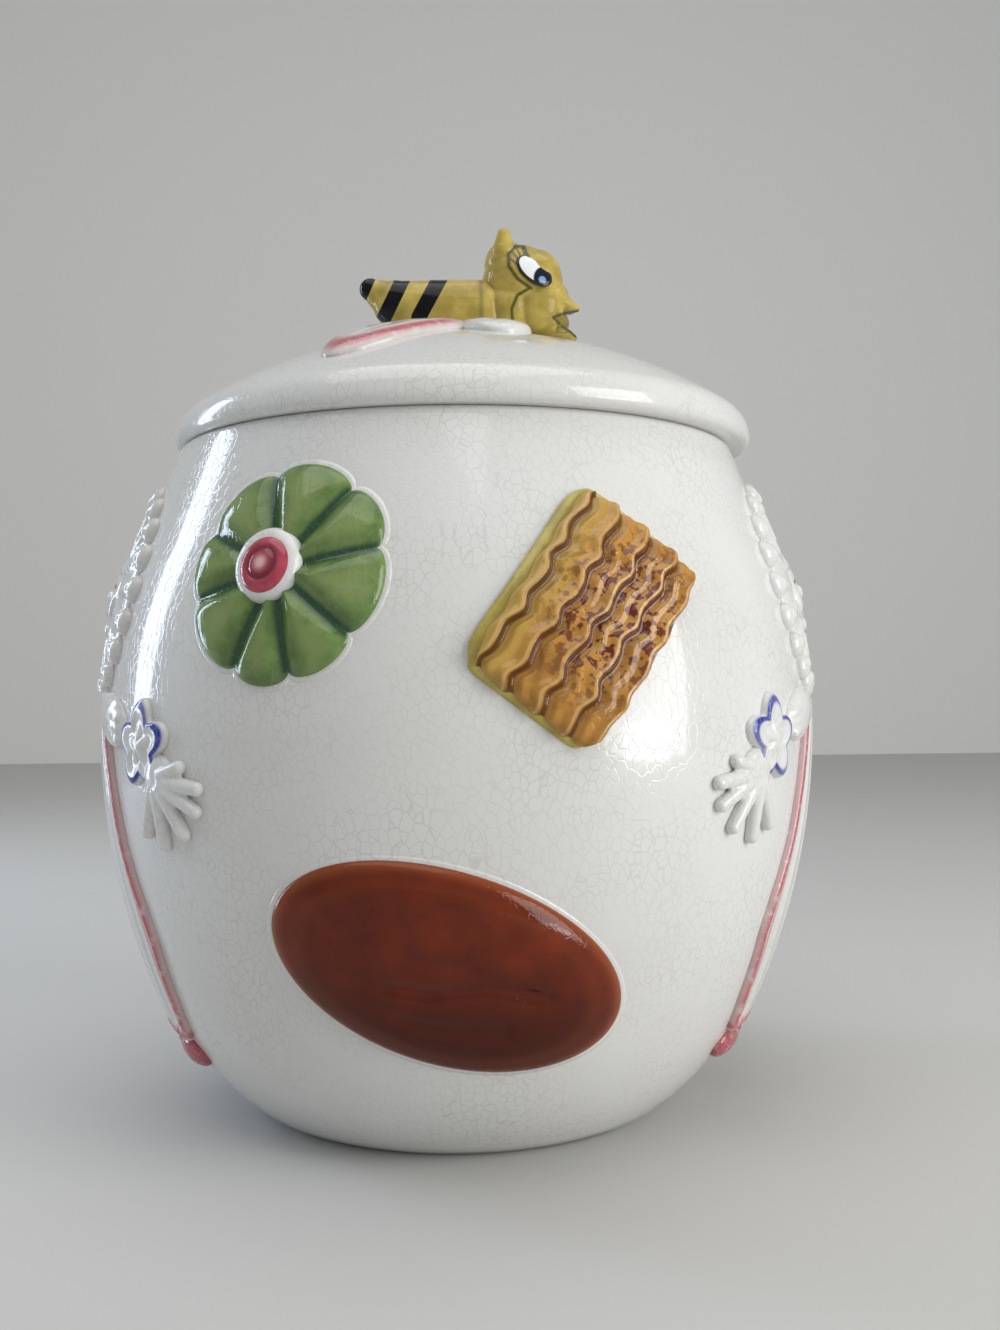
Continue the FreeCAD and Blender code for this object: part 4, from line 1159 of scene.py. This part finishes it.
def bee_head():
    bm = bmesh.new()
    ball(bm, (18.6, 0, 229.4), (11.0, 11.4, 11.4))
    ball(bm, (23.0, 0, 230.6), (8.0, 10.4, 9.0))
    ball(bm, (15.6, 0, 221.5), (8.6, 10.8, 9.0))
    ball(bm, (14.6, 0, 235.0), (6.2, 8.6, 7.2))
    for side in (-1, 1):
        ball(bm, (23.6, side * 4.6, 221.8), (7.2, 6.4, 7.2))
    roll(bm, (26.5, 0, 226.6), (34.6, 0, 222.9), 4.0, 1.2)
    ball(bm, (27.6, 0, 226.2), (5.0, 7.6, 4.2))
    ball(bm, (29.4, 0, 223.6), (5.6, 6.6, 1.9), (0, 12, 0))
    ball(bm, (26.8, 0, 218.6), (6.0, 5.4, 4.0))
    roll(bm, (22.0, 0, 216.6), (33.4, 0, 214.3), 3.9, 1.5)
    ball(bm, (27.6, 0, 215.2), (6.4, 6.0, 2.3))
    return skin(bm, 0.4, 2)


def head_lines_and_mouth_shade(x, y, z):
    x, z = as_seen(x, y, z)
    strokes = [CHEEK_LINE, LID_LINE, LIP_LINE, JAW_LINE, *LASHES] if abs(y) > 2.0 else [LIP_LINE, JAW_LINE]
    widths = [0.5, 0.6, 0.5, 0.4, 0.28, 0.28, 0.28, 0.28]
    line = max(bell(path_distance(x, z, path), width) for path, width in zip(strokes, widths))
    # The inside of the open mouth is darkened with olive: painted shade
    inside = 0.55 if x > 29 and 215.8 < z < 221.8 else 0.0
    return max(line, inside)


def bee_feelers():
    bm = bmesh.new()
    for side in (-1, 1):
        roll(bm, (13.8, side * 5.2, 237.5), (13.9, side * 5.5, 242.2), 3.4, 2.0)
    return skin(bm, 0.35, 2)


head = in_place(painted(bee_head(), {"olive": head_lines_and_mouth_shade}))
finish_piece(head, "bee_head_clay", "bee_glaze", "lid", "bee_head")
finish_piece(in_place(bee_feelers()), "bee_feelers", "bee_glaze", "lid", "bee_antennae")

# %% [markdown]
# ### Eyes
# Each eye is a low oval that leans forward. The dark pupil sits low at the front with a small pale
# blue painted highlight in it, and a dark line rims the oval.

# %% Bee: eyes


def bee_eye(side):
    bm = bmesh.new()
    bmesh.ops.create_uvsphere(bm, u_segments=96, v_segments=64, radius=1.0)
    marks = {
        "pupil": lambda u, v: 1.6 - math.hypot((u - 0.56) / 0.44, (v + 0.02) / 0.85),
        # glint is a pale blue painted highlight in the pupil
        "glint": lambda u, v: 1.6 - math.hypot((u - 0.60) / 0.16, (v + 0.34) / 0.26),
        "outline": lambda u, v: (math.hypot(u, v) - 0.87) * 8 + 0.5,
    }
    for name, strength in marks.items():
        layer = bm.verts.layers.float.new(name)
        for vert in bm.verts:
            vert[layer] = max(0.0, min(1.0, strength(vert.co.x, vert.co.z)))
    normal = Vector((0.30, side * 0.88, 0.34)).normalized()
    along = Vector((0.77, 0, -0.64))
    along = (along - along.dot(normal) * normal).normalized()
    upward = along.cross(normal) * side
    if upward.z < 0:
        upward = -upward
    turn = Matrix((along, normal, upward)).transposed().to_4x4()
    place = Matrix.Translation((22.2, side * 9.9, 230.8)) @ turn @ Matrix.Diagonal((5.9, 1.2, 4.0, 1))
    bmesh.ops.transform(bm, matrix=place, verts=bm.verts)
    return in_place(bm)


for side, word in ((-1, "near"), (1, "far")):
    finish_piece(bee_eye(side), f"bee_{word}_eye", "eye_glaze", "lid", "bee_eyes")

# %% [markdown]
# ### Wings
# Two wings a side lie flat on the dome: a long hind wing and a short fore wing beside the head.
# They are white lumps washed with rose along their edges, and the wash runs in watery streaks.

# %% Bee: wings
# Each wing's middle, ahead and aside, its half length and half width, and its sweep in degrees
WINGS = {"hind": (-15.0, 34.0, 31.0, 12.0, 55.0), "fore": (8.0, 24.0, 18.0, 10.0, 97.0)}


def on_dome(x, y, out):
    normal = Vector((x - LID_X, y, dome(x, y) - DOME_CENTRE)).normalized()
    return (Vector((LID_X, 0, DOME_CENTRE)) + normal * (DOME_ARC + out)) * MM


def bee_wing(side, kind):
    cx, cy, half, narrow, sweep = WINGS[kind]
    turn = math.radians(-side * sweep)
    c, s = math.cos(turn), math.sin(turn)
    bm = bmesh.new()
    bmesh.ops.create_uvsphere(bm, u_segments=160, v_segments=64, radius=1.0)
    rose = bm.verts.layers.float.new("rose")
    for vert in bm.verts:
        share = min(1.0, math.hypot(vert.co.x, vert.co.y))
        u, v = half * vert.co.x, narrow * vert.co.y
        veins = 0.5 + 0.5 * math.cos(v * 1.1 + 0.12 * u)
        rim = bell(share - 0.86, 0.12)
        wash = max(0.9 * rim, 0.5 * veins * bell(share - 0.55, 0.3)) if vert.co.z > -0.01 else 0.0
        out = 3.3 * (1 - share**5) ** 0.5 - 0.35 * veins * (1 - share) if vert.co.z > 1e-4 else -0.8
        ahead = cx + c * u - s * v
        vert[rose] = wash * max(0.0, min(1.0, (4 - ahead) / 9))
        vert.co = on_dome(ahead + LID_X, side * cy + s * u + c * v, out)
    return bm


for side, word in ((-1, "right"), (1, "left")):
    for kind in WINGS:
        wing = bee_wing(side, kind)
        finish_piece(wing, f"bee_{word}_{kind}_wing", "wing_glaze", "lid", f"bee_wing_{word}")

# %% [markdown]
# ## Floor, backdrop and light
# The jar stands on a plain pale floor. Gloss lives on what it mirrors: a tall cool window at the
# left gives the long streak down the barrel, a two-pane window at the right gives the broken
# patches, and a wide soft panel above lights the lid.

# %% Stage


def stage_finish(name, colour):
    """Plain matt paint of one colour."""
    material = bpy.data.materials.new(name)
    material.use_nodes = True
    tree = material.node_tree
    tree.nodes.clear()
    matt = add_node(tree, "ShaderNodeBsdfDiffuse", {"Color": hex_colour(colour)})
    add_node(tree, "ShaderNodeOutputMaterial", {"Surface": matt.outputs["BSDF"]})
    return material


def staged(name, bm, colour):
    mesh = bpy.data.meshes.new(name)
    bm.to_mesh(mesh)
    bm.free()
    item = bpy.data.objects.new(name, mesh)
    bpy.context.scene.collection.objects.link(item)
    mesh.materials.append(stage_finish(name + "_paint", colour))


UPRIGHT = Matrix.Translation((0, 1.6, 0)) @ Matrix.Rotation(math.pi / 2, 4, "X")
for name, place, colour in (("floor", Matrix(), "#c9c8c5"), ("backdrop", UPRIGHT, "#efeeea")):
    sheet = bmesh.new()
    bmesh.ops.create_grid(sheet, x_segments=1, y_segments=1, size=3.0, matrix=place)
    staged(name, sheet, colour)

# %% Lamps and world
JAR_MIDDLE = Vector((0, 0, 0.11))


def lamp(name, place, width, height, power, colour):
    """A rectangular lamp that is aimed at the jar's middle. Width and height are in metres, power in W."""
    light = bpy.data.lights.new(name, "AREA")
    light.shape = "RECTANGLE"
    light.size, light.size_y = width, height
    light.energy = power
    light.color = hex_colour(colour)[:3]
    item = bpy.data.objects.new(name, light)
    bpy.context.scene.collection.objects.link(item)
    item.location = place
    item.rotation_euler = (JAR_MIDDLE - Vector(place)).to_track_quat("-Z", "Y").to_euler()


lamp("left_window", (-0.78, 0.32, 0.27), 0.16, 0.75, 3.2, "#d6e6ff")
lamp("right_window", (0.84, -0.55, 0.34), 0.55, 0.75, 6.5, "#fafaf8")
lamp("right_pane", (0.70, -0.48, 0.06), 0.22, 0.10, 0.5, "#f2f4f6")
lamp("ceiling", (-0.1, -0.2, 1.3), 1.2, 1.2, 7.0, "#fbfaf7")

world = bpy.data.worlds.new("room")
bpy.context.scene.world = world
world.use_nodes = True
world.node_tree.nodes["Background"].inputs["Color"].default_value = hex_colour("#b9bcbf")
world.node_tree.nodes["Background"].inputs["Strength"].default_value = 0.78

# %% [markdown]
# ## Camera
# The photograph was taken from about 39 cm with a phone's wide lens, just below the jar's middle and
# turned a little to its right. The barrel's edges, the rim and the foot fix that view.

# %% Camera
SENSOR = 36.0
# The photograph is 1330 pixels high, and its focal length is 1350 pixels
camera_data = bpy.data.cameras.new("camera")
camera_data.sensor_fit = "AUTO"
camera_data.sensor_width = SENSOR
camera_data.lens = 1350 / 1330 * SENSOR
camera_data.clip_start = 0.01
camera = bpy.data.objects.new("camera", camera_data)
bpy.context.scene.collection.objects.link(camera)
camera.matrix_world = (
    Matrix.Translation((0, -EYE_AWAY * MM, EYE_HEIGHT * MM))
    @ Matrix.Rotation(math.radians(-1.756), 4, "Z")
    @ Matrix.Rotation(math.radians(90.6), 4, "X")
    @ Matrix.Rotation(math.radians(-0.56), 4, "Z")
)
bpy.context.scene.camera = camera
bpy.context.scene.view_settings.view_transform = "Standard"
